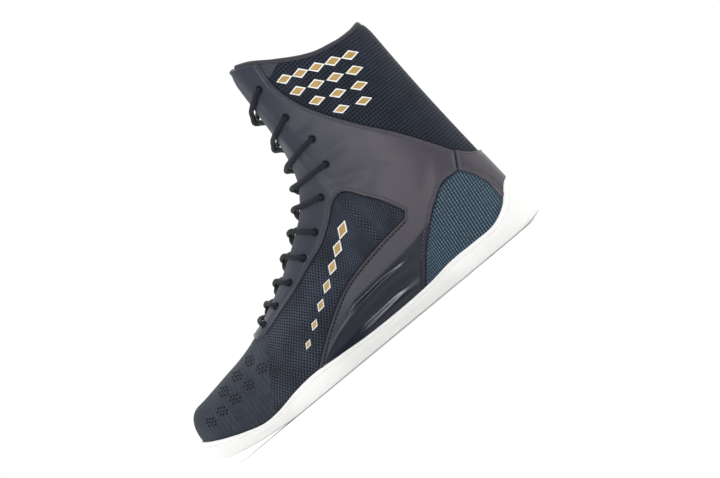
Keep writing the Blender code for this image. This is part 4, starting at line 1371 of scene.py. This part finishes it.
class ColourSettings(bpy.types.PropertyGroup):
    """Colours of cloth, leather, rubber and print."""

    leather: colour_setting("Leather", "Saddle, eyestay and heel strap", "#423e47")
    # Painted shade: the leather darkens to this colour towards the toe and upwards
    leather_dark: colour_setting("Leather shade", "Darker patches of the leather", "#292d3b")
    leather_low: colour_setting("Glossy leather", "Leather by the sole", "#161b29")
    collar: colour_setting("Collar mesh", "Threads of the collar", "#283142")
    vamp: colour_setting("Vamp mesh", "Threads of the vamp", "#3f4757")
    toe: colour_setting("Toe knit", "Loops of the toe", "#404753")
    heel: colour_setting("Heel mesh", "Threads of the heel panel", "#708a9b")
    heel_dark: colour_setting("Heel mesh shade", "Gaps of the heel panel", "#243340")
    gap: colour_setting("Mesh holes", "Holes of collar and vamp", "#07090d")
    lining: colour_setting("Lining", "Inside of the bootie", "#262a31")
    rubber: colour_setting("Rubber", "Sole", "#fafaf8")
    rubber_dark: colour_setting("Rubber shade", "Dusty patches of the sole", "#f0efec")
    lace: colour_setting("Lace", "Braid of the lace", "#1e252f")
    tape: colour_setting("Binding", "Tape on the collar's edge", "#45454d")
    thread: colour_setting("Thread", "Stitches of the same tone", "#5d5d66")
    thread_dark: colour_setting("Dark thread", "Stitches along the lower window edge", "#101116")
    gold: colour_setting("Gold print", "Lozenges", "#b8954c")
    gold_dark: colour_setting("Gold shade", "Streaks in the gold", "#9c7c3c")
    white: colour_setting("White print", "Edges of the lozenges", "#f1f0ec")


class StageSettings(bpy.types.PropertyGroup):
    """Camera."""

    lens: bpy.props.FloatProperty(name="Lens", description="Focal length in millimetres", default=117.0)
    distance: length_setting("Distance", "From camera to shoe", 1.62)
    height: length_setting("Height", "Height of the camera over the floor", 0.012)
    aside: length_setting("Aside", "How far the view is moved to the right", 0.049)
    turn: angle_setting("Turn", "Direction the shoe is seen from", 189.0)
    roll: angle_setting("Roll", "Lean of the camera", -39.7)


def size(name):
    """A length of the settings in millimetres."""
    return getattr(bpy.context.scene.shoe, name) / MM


def tone(name, share=1.0):
    """A colour of the settings, darkened to a share of itself."""
    return tuple(share * part for part in getattr(bpy.context.scene.shoe_colours, name))


class SHOE_OT_sole(bpy.types.Operator):
    """Moulded cup sole with ringed tread pods, and the insole in it"""

    bl_idname = "shoe.sole"
    bl_label = "Cup sole"

    def execute(self, context):
        turns = even_turns(SOLE_TURNS)
        loops = sole_loops(turns)
        wall = self.wall(turns, loops)
        bed = np.concatenate(halves(loops[-1], SOLE_TURNS))
        points, faces, ring, on_pod, sunk = joined([
            self.bare(wall.reshape(-1, 3), ring_faces(*wall.shape[:2])),
            self.tread(loops[0]),
            self.bare(bed, grid_faces(2, SOLE_TURNS, False)),
        ])
        mesh_piece("sole_shell", points, faces, [rubber_look("white_rubber_sole")], "white_rubber",
                   ("outsole",), cloth=points[:, :2], ring=ring, on_pod=on_pod, sunk=sunk)
        self.insole()
        return {"FINISHED"}

    def bare(self, points, faces):
        """A part of the sole without pods, rings and sunk places."""
        none = np.zeros(len(points))
        return points, faces, np.zeros((len(points), 2)), none, none

    def wall(self, turns, loops):
        """Rows of the side wall, rim and inner wall, with a groove along the side."""
        length = travelled(loops)
        share = (length / length[-1]).mean(axis=1)
        groove = share[3] * (1.0 - GROOVE_PLACE) + share[4] * GROOVE_PLACE
        near_groove = groove + GROOVE_WIDTH * np.linspace(-2.0, 2.0, GROOVE_ROWS)
        levels = np.sort(np.concatenate([np.linspace(0.0, 1.0, WALL_ROWS), share, near_groove]))
        ways = around(turns, lambda side, at: outline(SOLE, side, at)[1])
        rows = np.array([loop_between(share, loops, level) for level in levels])
        depth = SIDE_GROOVE * np.exp(-((levels - groove) / GROOVE_WIDTH) ** 2)
        rows[..., :2] -= ways * depth[:, None, None]
        return rows

    def tread(self, edge):
        """Points, faces and values of the tread, sunk between its pods."""
        lateral, medial = halves(edge, SOLE_TURNS)
        across = np.linspace(0.0, 1.0, TREAD_ROWS)[:, None, None]
        points = (lateral * (1 - across) + medial * across).reshape(-1, 3)
        x, y = points[:, :2].T
        inside, ring = pod_places(x, y)
        sunk = np.minimum(inside_distance(x, y, TREAD_FIELD), -inside)
        patch = Patch({"point": points, "ring": ring, "on_pod": inside, "sunk": sunk},
                      grid_faces(TREAD_ROWS, SOLE_TURNS, True))
        for level in TREAD_STEP:
            patch.split("sunk", level)
        points, ring, on_pod, sunk = patch.values.values()
        points = points + np.clip(sunk, 0.0, 1.0)[:, None] * (0.0, 0.0, TREAD_DEPTH)
        return points, patch.faces, ring, on_pod, sunk

    def insole(self):
        """Sock liner with a soft edge on the floor of the cup."""
        turns = even_turns(INSOLE_TURNS)
        base = CUP_FLOOR + INSOLE_GAP
        top = base + size("insole_thickness")
        section = [(INSOLE_EDGE[0][0], base)] + [(inset, top - lower) for inset, lower in INSOLE_EDGE]
        loops = np.array([around(turns, inset_level(UPPER, *level)) for level in section])
        lid = np.concatenate(halves(loops[-1], INSOLE_TURNS))
        points, faces = joined([(loops.reshape(-1, 3), ring_faces(*loops.shape[:2])),
                                (lid, grid_faces(2, INSOLE_TURNS, False))])
        look = plain_look("sock_liner_cloth", tone("lining"), tone("lining", 0.7), 0.9, 500.0)
        mesh_piece("sock_liner", points, faces, [look], "lining", ("insole",))


class SHOE_OT_bootie(bpy.types.Operator):
    """Hollow mesh bootie: collar, heel and vamp cloth outside, lining inside"""

    bl_idname = "shoe.bootie"
    bl_label = "Mesh bootie"

    def execute(self, context):
        gap = tone("gap")
        looks = {
            COLLAR_CLOTH: mesh_look("collar_mesh", tone("collar"), gap, 2.0, 2.4, True),
            HEEL_CLOTH: twill_look("heel_mesh", tone("heel"), tone("heel_dark"), 2.1),
            VAMP_CLOTH: mesh_look("vamp_mesh", tone("vamp"), gap, 2.6, 3.3),
            LINING: plain_look("lining_cloth", tone("lining"), gap, 0.9, 700.0),
            TOE_CLOTH: knit_look("toe_knit", tone("toe"), tone("toe", 0.42)),
            TRIM: plain_look("collar_trim", tone("tape"), tone("tape", 0.7), 0.8, 900.0),
        }
        turns = even_turns(CLOTH_TURNS)
        wall = size("wall")
        parts = []
        for side in SIDES:
            parts.append(self.outside(side, turns))
            inner = side_patch(side, turns[::2], LINING_ROWS)
            lining = skin(side, inner.values["turn"], inner.values["v"], -wall)
            parts.append(self.inside(lining, inner.faces[:, ::-1], inner.values["cloth"]))
            edge = edge_v(side, turns)
            lip = np.concatenate([skin(side, turns, edge, -wall * share) for share in (0.0, 0.5, 1.0)])
            lip_faces = grid_faces(3, len(turns), side == LATERAL)
            parts.append(self.inside(lip, lip_faces, np.zeros((len(lip), 2))))
        points, faces, cloth, seam, kinds = joined(parts)
        mesh_piece("bootie", points, faces, looks.values(), "navy_mesh", ("upper",), kinds=kinds,
                   cloth=cloth, seam=seam)
        return {"FINISHED"}

    def outside(self, side, turns):
        """Outer cloth of one side with its lace holes, the kind of each face and the seam's distance."""
        patch = side_patch(side, turns, CLOTH_ROWS)
        point = patch.values["point"]
        patch.values["hole"] = hole_distance(side, point)
        patch.values["trim"] = inside_form(point, COLLAR_TRIM)
        patch.values["toe"] = point[:, 0] + TOE_LEAN * point[:, 2] - TOE_LINE
        patch.keep("hole")
        patch.split("trim", 0.0)
        patch.split("toe", 0.0)
        patch.compact()
        point = patch.values["point"]
        kind = np.full(len(point), VAMP_CLOTH)
        kind[inside_form(point, collar_outline()) > 0] = COLLAR_CLOTH
        kind[inside_form(point, heel_outline()) > 0] = HEEL_CLOTH
        kinds = kind[patch.faces[:, 0]]
        for name, other in (("toe", TOE_CLOTH), ("trim", TRIM)):
            kinds[patch.values[name][patch.faces].mean(axis=1) > 0] = other
        seam = -np.maximum(inside_form(point, saddle_outline()), inside_form(point, strap_outline()))
        points = skin(side, patch.values["turn"], patch.values["v"], 0.0)
        return points, patch.faces, patch.values["cloth"], seam, kinds

    def inside(self, points, faces, cloth):
        """A part of the lining, far from any seam."""
        return points, faces, cloth, np.full(len(points), OVER_ALL), np.full(len(faces), LINING)


def gloss_at(points):
    """How far points lie in the glossy zone, from 0 to 1."""
    below = np.interp(points[:, 0], *GLOSS_LINE.T) - points[:, 2]
    return np.where(points[:, 0] > GLOSS_LINE[0, 0], np.clip(below / GLOSS_FADE + 0.5, 0.0, 1.0), 0.0)


def leather_skin(side, turns, rows, corners, holes):
    """Points, faces, edge distances and gloss of leather inside an outline.

    Its edge is rolled, with a bead where it is folded and a groove where it is stitched.
    """
    patch = side_patch(side, turns, rows)
    point = patch.values["point"]
    inside = inside_form(point, corners)
    field = np.minimum(inside, patch.values["from_edge"])
    if holes:
        field = np.minimum(field, hole_distance(side, point))
    over_rim = point[:, 2] - rim_height(side, patch.values["turn"]) - RIM_CLEARANCE
    patch.values.update(over_rim=over_rim, inside=inside, field=field, gloss=gloss_at(point))
    roll = size("edge_roll")
    seam = size("stitch_inset")
    patch.keep("over_rim")
    patch.keep("field")
    for name, width, shares in (("field", roll, ROLL_SPLITS), ("inside", seam, SEAM_SPLITS),
                                ("gloss", 1.0, (0.5,))):
        for share in shares:
            patch.split(name, share * width)
    patch.compact()
    inward = np.clip(patch.values["field"] / roll, 0.0, 1.0)
    distance = patch.values["inside"] / seam
    fold = 1.0 + FOLD_BEAD * np.exp(-((distance - FOLD_PLACE) / FOLD_WIDTH) ** 2)
    fold -= SEAM_GROOVE * np.exp(-((distance - 1.0) / SEAM_GROOVE_WIDTH) ** 2)
    lift = size("leather") * np.sqrt(1.0 - (1.0 - inward) ** 2) * fold
    points = skin(side, patch.values["turn"], patch.values["v"], lift)
    return points, patch.faces, patch.values["field"], patch.values["gloss"]


class SHOE_OT_leather(bpy.types.Operator):
    """Leather saddle and eyestay on each side, and the strap round the heel"""

    bl_idname = "shoe.leather"
    bl_label = "Leather overlays"

    def execute(self, context):
        looks = [leather_look("dark_leather", 0.4, 0.4), leather_look("glossy_leather", 0.4, 0.32)]
        strap = leather_look("strap_leather", 0.34, 0.4)
        turns = even_turns(SADDLE_TURNS, UPPER.turn(SADDLE_START), UPPER.turn(SADDLE_END))
        for side, name in SIDE_NAMES.items():
            points, faces, field, gloss = leather_skin(side, turns, SADDLE_ROWS, saddle_outline(), True)
            mesh_piece("saddle_leather_" + name, points, faces, looks, "grey_leather", ("saddle_" + name,),
                       kinds=gloss[faces].mean(axis=1) > 0.5, edge=field, gloss=gloss)
        heel = even_turns(STRAP_TURNS, 0.0, UPPER.turn(STRAP_END))
        points, faces, field, _ = joined(
            [leather_skin(side, heel, STRAP_ROWS, strap_outline(), False) for side in SIDES])
        mesh_piece("strap_leather", points, faces, [strap], "grey_leather", ("heel_strap",), edge=field)
        return {"FINISHED"}


def stitch_forms(points, ways, ups, long, thick):
    """Short rounded stitches at points, each along its way and lying on the surface."""
    ways = unit(ways)
    ups = unit(ups - ways * (ups * ways).sum(axis=1, keepdims=True))
    across = np.cross(ways, ups)
    form = np.stack([
        points + ways * along * long + across * wide * thick * math.cos(turn)
        + ups * (0.7 * wide * thick * math.sin(turn) + 0.35 * thick * rise)
        for along, wide, rise in STITCH_RINGS
        for turn in WHOLE_TURN * np.arange(STITCH_SIDES) / STITCH_SIDES], axis=1)
    count = form.shape[1]
    fan = np.array([(0, place, place + 1) for place in range(1, STITCH_SIDES - 1)])
    one = np.concatenate([ring_faces(len(STITCH_RINGS), STITCH_SIDES),
                          fan[:, [0, 2, 1]], fan + count - STITCH_SIDES])
    faces = one + (np.arange(len(points)) * count)[:, None, None]
    return form.reshape(-1, 3), faces.reshape(-1, 3)


def inset_line(line, corners, inset):
    """A line moved into an outline by a distance, both seen from the side."""
    ways = unit(np.gradient(line, axis=0))
    square = np.column_stack([-ways[:, 1], ways[:, 0]])
    trial = line + square * inset
    inside = inside_distance(trial[:, 0], trial[:, 1], corners)
    return np.where((inside > 0)[:, None], trial, line - square * inset)


def stitches_along(side, line, pitch, long, thick, lift):
    """Stitches along a line seen from the side."""
    turn, v = side_places(side, line[:, 0], line[:, 1])
    route = skin(side, turn, v, lift)
    knots = travelled(route)
    at = np.arange(pitch / 2, knots[-1], pitch)
    behind, middle, ahead = (along_line(at + step, knots, route) for step in (-0.4, 0.0, 0.4))
    normals = upper_normal(side, np.interp(at, knots, turn), np.interp(at, knots, v))
    return stitch_forms(middle, ahead - behind, normals, long, thick)


class SHOE_OT_stitches(bpy.types.Operator):
    """Rows of stitches along the edges of the leather"""

    bl_idname = "shoe.stitches"
    bl_label = "Stitches"

    def execute(self, context):
        pitch = size("stitch_pitch")
        inset = size("stitch_inset")
        lift = size("leather") * (1.0 - SEAM_GROOVE)
        saddle = saddle_outline()
        strap = strap_outline()
        short = slice(4, 16)
        rows = (
            (curve_through(COLLAR_SEAM[1:], 120), saddle),
            (curve_through(HEEL_ARCH[:-1], 90), saddle),
            (curve_through(WINDOW_TOP[:-3], 160), saddle),
            (curve_through(STRAP_LOW[1:], 60), strap),
            (curve_through(STRAP_TOP[:2], 20)[5:], strap),
            (curve_through((COLLAR_SEAM[-1], HEEL_ARCH[0]), 20)[short], saddle),
            (curve_through((STRAP_LOW[-1], STRAP_TOP[0]), 20)[short], strap),
        )
        window = ((curve_through(WINDOW_LOW, 120), saddle),)
        for name, colour, lines, (apart, long, thick, rise) in (
                ("stitches_plain", "thread", rows, PLAIN_STITCH),
                ("stitches_dark", "thread_dark", window, DARK_STITCH)):
            sizes = (pitch * apart, pitch * long, thick, lift + rise)
            points, faces = joined([stitches_along(side, inset_line(line, outer, inset), *sizes)
                                    for side in SIDES for line, outer in lines])
            look = plain_look(name + "_thread", tone(colour), tone(colour, 0.7), 0.6, 2000.0)
            mesh_piece(name, points, faces, [look], "grey_leather")
        return {"FINISHED"}


def lozenge(side, x, z, slope, long, wide, lift):
    """A printed lozenge that follows the surface."""
    angle = WHOLE_TURN * np.arange(LOZENGE_SIDES) / LOZENGE_SIDES
    reach = 1.0 / (np.abs(np.cos(angle)) + np.abs(np.sin(angle)))
    share = np.linspace(1.0, 0.0, LOZENGE_LOOPS + 1)[:-1, None]
    along = np.append(share * reach * np.cos(angle) * long / 2, 0.0)
    across = np.append(share * reach * np.sin(angle) * wide / 2, 0.0)
    way = (math.cos(slope), math.sin(slope))
    turn, v = side_places(side, x + along * way[0] - across * way[1], z + along * way[1] + across * way[0])
    height = np.where(np.arange(len(along)) < LOZENGE_SIDES, 0.0, lift)
    faces = disc_faces(LOZENGE_LOOPS, LOZENGE_SIDES)
    return skin(side, turn, v, height), faces if side == MEDIAL else faces[:, ::-1]


class SHOE_OT_print(bpy.types.Operator):
    """Rows of gold lozenges with white edges on collar and vamp"""

    bl_idname = "shoe.print"
    bl_label = "Printed lozenges"

    def execute(self, context):
        gold = []
        white = []
        for side in SIDES:
            for x0, z0, x1, z1, count, long, wide, shrink in LOZENGES:
                slope = math.atan2(z1 - z0, x1 - x0)
                for share in np.linspace(0.0, 1.0, count):
                    scale = 1.0 - shrink * share
                    place = (x0 + (x1 - x0) * share, z0 + (z1 - z0) * share, slope)
                    edge = PRINT_EDGE * math.sqrt(scale)
                    white.append(lozenge(side, *place, long * scale + edge, wide * scale + edge, WHITE_LIFT))
                    gold.append(lozenge(side, *place, long * scale, wide * scale, GOLD_LIFT))
        for name, forms, look in (
                ("print_white", white, print_look("white_film", tone("white"), tone("white"), 0.5)),
                ("print_gold", gold, print_look("gold_film", tone("gold"), tone("gold_dark"), 0.42))):
            mesh_piece(name, *joined(forms), [look], "navy_mesh")
        return {"FINISHED"}


class SHOE_OT_toe_holes(bpy.types.Operator):
    """Groups of small punched holes on the toe, each a raised rim round a dark disc of painted shade"""

    bl_idname = "shoe.toe_holes"
    bl_label = "Toe holes"

    def execute(self, context):
        angle = WHOLE_TURN * np.arange(HOLE_SIDES) / HOLE_SIDES
        circle = TOE_HOLE_RADIUS * np.column_stack([np.cos(angle), np.sin(angle)])
        form = np.concatenate([share * circle for share, _ in TOE_HOLE_SECTION] + [np.zeros((1, 2))])
        lifts = np.repeat([lift for _, lift in TOE_HOLE_SECTION], HOLE_SIDES)
        lifts = np.append(lifts, lifts[-1])
        one = disc_faces(len(TOE_HOLE_SECTION), HOLE_SIDES)
        kind = (one.min(axis=1) >= TOE_HOLE_RIM * HOLE_SIDES).astype(int)
        parts = []
        for side in SIDES:
            for x, z in TOE_GROUPS:
                for across, up in TOE_GROUP_DOTS:
                    turn, v = side_places(side, x + across + form[:, 0], z + up + form[:, 1])
                    faces = one if side == MEDIAL else one[:, ::-1]
                    parts.append((skin(side, turn, v, lifts), faces, kind))
        points, faces, kinds = joined(parts)
        rim = plain_look("hole_rim", tone("toe"), tone("gap"), 0.85, 1500.0)
        # Painted shade: a nearly black disc stands in for the shadow inside each hole
        painted_pit_shade = plain_look("hole_pit", (0.004, 0.005, 0.006), (0.002, 0.002, 0.003), 0.95, 1500.0)
        mesh_piece("toe_holes", points, faces, [rim, painted_pit_shade], "navy_mesh", kinds=kinds)
        return {"FINISHED"}


class SHOE_OT_collar(bpy.types.Operator):
    """Bound edge of the collar"""

    bl_idname = "shoe.collar"
    bl_label = "Collar binding"

    def execute(self, context):
        turns = np.linspace(0.0, UPPER.turn(BINDING_END), TAPE_TURNS)
        raised = (0.0, 0.0, BINDING_RISE)
        lateral, medial = (skin(side, turns, edge_v(side, turns), -size("wall") / 2) + raised
                           for side in SIDES)
        route = np.concatenate([lateral[::-1], medial[1:]])
        points, faces, cloth = tube_points(route, size("binding_radius"), TAPE_SIDES)
        look = braid_look("binding_tape", tone("tape"), tone("tape", 0.5), 1.6)
        mesh_piece("collar_tape", points, faces, [look], "grey_binding", ("collar_binding",), cloth=cloth)
        return {"FINISHED"}


class SHOE_OT_tongue(bpy.types.Operator):
    """Padded tongue under the throat"""

    bl_idname = "shoe.tongue"
    bl_label = "Tongue"

    def execute(self, context):
        depth = size("tongue_depth")
        reaches = np.linspace(-TONGUE_HALF, TONGUE_HALF, TONGUE_COLUMNS)
        upper = self.sheet(reaches, -depth)
        under = self.sheet(reaches, -depth - size("tongue_thickness"))
        middle = (upper + under) / 2
        past = np.clip((np.abs(reaches) / TONGUE_HALF - TONGUE_EDGE) / (1.0 - TONGUE_EDGE), 0.0, 1.0)
        swell = np.sqrt(np.clip(1.0 - past ** 2, 0.0, 1.0))[:, None]
        top = middle + (upper - middle) * swell
        bottom = middle + (under - middle) * swell
        count, wide = top.shape[:2]
        cloth = np.stack(np.meshgrid(reaches, travelled(top[:, wide // 2])), axis=-1).reshape(-1, 2)
        head = np.concatenate([top[0], middle[0] - INSTEP.way_at(TONGUE_START) * TONGUE_LIP, bottom[0]])
        points, faces, cloth = joined([
            (top.reshape(-1, 3), grid_faces(count, wide, True), cloth),
            (bottom.reshape(-1, 3), grid_faces(count, wide, False), cloth),
            (head, grid_faces(3, wide, False), np.zeros((3 * wide, 2)))])
        look = mesh_look("tongue_mesh", tone("vamp"), tone("gap"), 2.6, 3.0)
        pad = mesh_piece("tongue_pad", points, faces, [look], "navy_mesh", ("tongue",), cloth=cloth,
                         seam=np.full(len(points), OVER_ALL))
        return {"FINISHED"}

    def sheet(self, reaches, lift):
        """Rows of points under the throat, with an arched head above the first."""
        distances = np.linspace(TONGUE_START, INSTEP.along(TONGUE_TUCK), TONGUE_ROWS)
        rows = np.array([[INSTEP.point(distance, reach, lift) for reach in reaches]
                         for distance in distances])
        arch = (1.0 - TONGUE_ARCH * np.abs(reaches / TONGUE_HALF) ** 3)[:, None] * INSTEP.way_at(TONGUE_START)
        rises = np.linspace(TONGUE_PROUD, TONGUE_NECK, TONGUE_HEAD_ROWS)[:, None, None]
        return np.concatenate([rows[:1] - arch * rises, rows])


class SHOE_OT_lace(bpy.types.Operator):
    """One round lace: a bar at the bottom and crossings that go into the holes from outside"""

    bl_idname = "shoe.lace"
    bl_label = "Lace"

    def execute(self, context):
        radius = size("lace_radius")
        clear = size("leather") + radius - LACE_SINK
        rows = EYELETS[::-1]
        routes = [self.bar(rows[0], clear)]
        routes += [self.strand(lower, upper, side, clear)
                   for lower, upper in zip(rows, rows[1:]) for side in SIDES]
        cords = [tube_points(self.eased(route), radius, LACE_SIDES) for route in routes]
        points, faces, cloth = joined(cords)
        nodes = ["lace_bar"] + ["lace_cross_%d" % number for number in range(1, len(rows))]
        look = braid_look("lace_braid", tone("lace"), tone("lace", 0.35), 1.5)
        mesh_piece("lace", points, faces, [look], "navy_lace", nodes, cloth=cloth)
        return {"FINISHED"}

    def eased(self, route):
        """A soft line along a route."""
        line = curve_through(route, LACE_POINTS)
        for _ in range(LACE_EASING):
            line[1:-1] = (line[:-2] + 2.0 * line[1:-1] + line[2:]) / 4
        return line

    def to_hole(self, side, edge, hole, clear):
        """From the edge of the throat over the leather and down into a hole."""
        x, z, _ = hole
        route = [side_point(side, edge[0] + (x - edge[0]) * share, edge[2] + (z - edge[2]) * share, clear)
                 for share in STRAND_OVER_LEATHER]
        return route + [side_point(side, x, z, lift) for lift in (clear * LACE_DIP, -LACE_DEPTH)]

    def strand(self, lower, upper, side, clear):
        """From under one edge of the throat across to a hole of the next row."""
        x, z, end = upper
        start = lower[2] - STRAND_RISE
        first = STRAND_OVER_THROAT[0][0]
        whole = abs(side_point(side, x, z, 0.0)[1]) - first
        route = []
        for reach, lift in STRAND_OVER_THROAT:
            distance = start + (end - start) * (reach - first) / whole
            parting = side * STRAND_PARTING * math.exp(-(reach / STRAND_SPREAD) ** 2)
            route.append(INSTEP.point(distance, side * reach, lift + parting))
        edge = INSTEP.point(distance, side * THROAT_HALF, 0.0)
        return route + self.to_hole(side, edge, upper, clear)

    def bar(self, row, clear):
        """Straight across the throat between the two holes of a row."""
        halves_of_bar = []
        for side in SIDES:
            middle, edge, over = (INSTEP.point(row[2], side * reach, lift) for reach, lift in (
                (THROAT_HALF / 2, clear - BAR_SINK), (THROAT_HALF, 0.0), (THROAT_HALF, clear)))
            halves_of_bar.append([middle, over] + self.to_hole(side, edge, row, clear))
        return halves_of_bar[0][::-1] + halves_of_bar[1]


class SHOE_OT_stage(bpy.types.Operator):
    """Pale floor, soft light and the camera"""

    bl_idname = "shoe.stage"
    bl_label = "Stage"

    def execute(self, context):
        scene = context.scene
        look = Look("pale_floor")
        far = look.length(look.place())
        look.finish(colour=srgb("#fafafa"), roughness=0.6, specular=0.3, glow=(1.0, 1.0, 1.0),
                    glow_strength=look.steps(far, 0.4, 2.4, 0.0, 0.5))
        mesh = bpy.data.meshes.new("floor")
        corners = [(FLOOR_REACH * x, FLOOR_REACH * y, 0) for x, y in ((-1, -1), (1, -1), (1, 1), (-1, 1))]
        mesh.from_pydata(corners, [], [(0, 1, 2, 3)])
        mesh.materials.append(look.material)
        self.place("floor", mesh)
        self.backdrop(scene)
        scene.view_settings.view_transform = "Standard"
        for name, place, width, height, power in LAMPS:
            data = bpy.data.lights.new(name, "AREA")
            data.shape = "RECTANGLE"
            data.size = width
            data.size_y = height
            data.energy = power
            lamp = self.place(name, data, place)
            lamp.rotation_euler = (LAMP_AIM - lamp.location).to_track_quat("-Z", "Y").to_euler()
            lamp.visible_diffuse = name != "strip"
        data = bpy.data.lights.new("sky", "SUN")
        data.energy = SKY_POWER
        data.angle = math.radians(SKY_ANGLE)
        self.place("sky", data, (0.0, 0.0, 2.0))
        self.camera(scene)
        return {"FINISHED"}

    def place(self, name, data, location=(0.0, 0.0, 0.0)):
        """Puts a floor or a lamp on the stage."""
        thing = bpy.data.objects.new(name, data)
        thing.location = location
        bpy.context.scene.collection.objects.link(thing)
        return thing

    def backdrop(self, scene):
        """A bright wall behind the shoe and a dimmer room on the camera's side."""
        world = bpy.data.worlds.new("studio")
        world.use_nodes = True
        room = Nodes(world.node_tree)
        way = room.parts(room.node("ShaderNodeTexCoord").outputs["Generated"])
        lower = room.sums("MULTIPLY_ADD", way["Z"], ROOM_TILT, way["Y"])
        back = world.node_tree.nodes["Background"]
        room.put(back.inputs["Color"], (1.0, 1.0, 1.0))
        room.put(back.inputs["Strength"], room.steps(lower, *ROOM_FADE, *ROOM_LIGHT))
        scene.world = world

    def camera(self, scene):
        """Looks from the photo's side, at the floor's level, and leans as the photo does."""
        settings = scene.shoe_stage
        data = bpy.data.cameras.new("camera")
        data.lens = settings.lens
        data.sensor_width = 36.0
        data.clip_start = 0.01
        data.clip_end = 100.0
        camera = bpy.data.objects.new("camera", data)
        back = Vector((math.sin(settings.turn), -math.cos(settings.turn), 0.0))
        right = Vector((math.cos(settings.turn), math.sin(settings.turn), 0.0))
        lean = right * math.cos(settings.roll) + Vector((0.0, 0.0, math.sin(settings.roll)))
        aim = CAMERA_AIM + lean * settings.aside
        place = aim + back * settings.distance
        place.z = settings.height
        look = (aim - place).to_track_quat("-Z", "Y").to_matrix().to_4x4()
        camera.matrix_world = Matrix.Translation(place) @ look @ Matrix.Rotation(settings.roll, 4, "Z")
        scene.collection.objects.link(camera)
        scene.camera = camera


class SHOE_PT_panel(bpy.types.Panel):
    """Lists the steps that build the shoe"""

    bl_idname = "SHOE_PT_panel"
    bl_label = "Boxing shoe"
    bl_space_type = "VIEW_3D"
    bl_region_type = "UI"
    bl_category = "Shoe"

    def draw(self, context):
        for step in STEPS:
            self.layout.operator(step.bl_idname)


STEPS = (SHOE_OT_sole, SHOE_OT_bootie, SHOE_OT_leather, SHOE_OT_stitches, SHOE_OT_print, SHOE_OT_toe_holes,
         SHOE_OT_collar, SHOE_OT_tongue, SHOE_OT_lace, SHOE_OT_stage)
CLASSES = (ShoeSettings, ColourSettings, StageSettings, *STEPS, SHOE_PT_panel)


def register():
    for item in CLASSES:
        bpy.utils.register_class(item)
    bpy.types.Scene.shoe = bpy.props.PointerProperty(type=ShoeSettings)
    bpy.types.Scene.shoe_colours = bpy.props.PointerProperty(type=ColourSettings)
    bpy.types.Scene.shoe_stage = bpy.props.PointerProperty(type=StageSettings)


def unregister():
    del bpy.types.Scene.shoe_stage
    del bpy.types.Scene.shoe_colours
    del bpy.types.Scene.shoe
    for item in reversed(CLASSES):
        bpy.utils.unregister_class(item)


def main():
    register()
    bpy.ops.shoe.sole()
    bpy.ops.shoe.bootie()
    bpy.ops.shoe.leather()
    bpy.ops.shoe.stitches()
    bpy.ops.shoe.print()
    bpy.ops.shoe.toe_holes()
    bpy.ops.shoe.collar()
    bpy.ops.shoe.tongue()
    bpy.ops.shoe.lace()
    bpy.ops.shoe.stage()


if __name__ == "__main__":
    main()
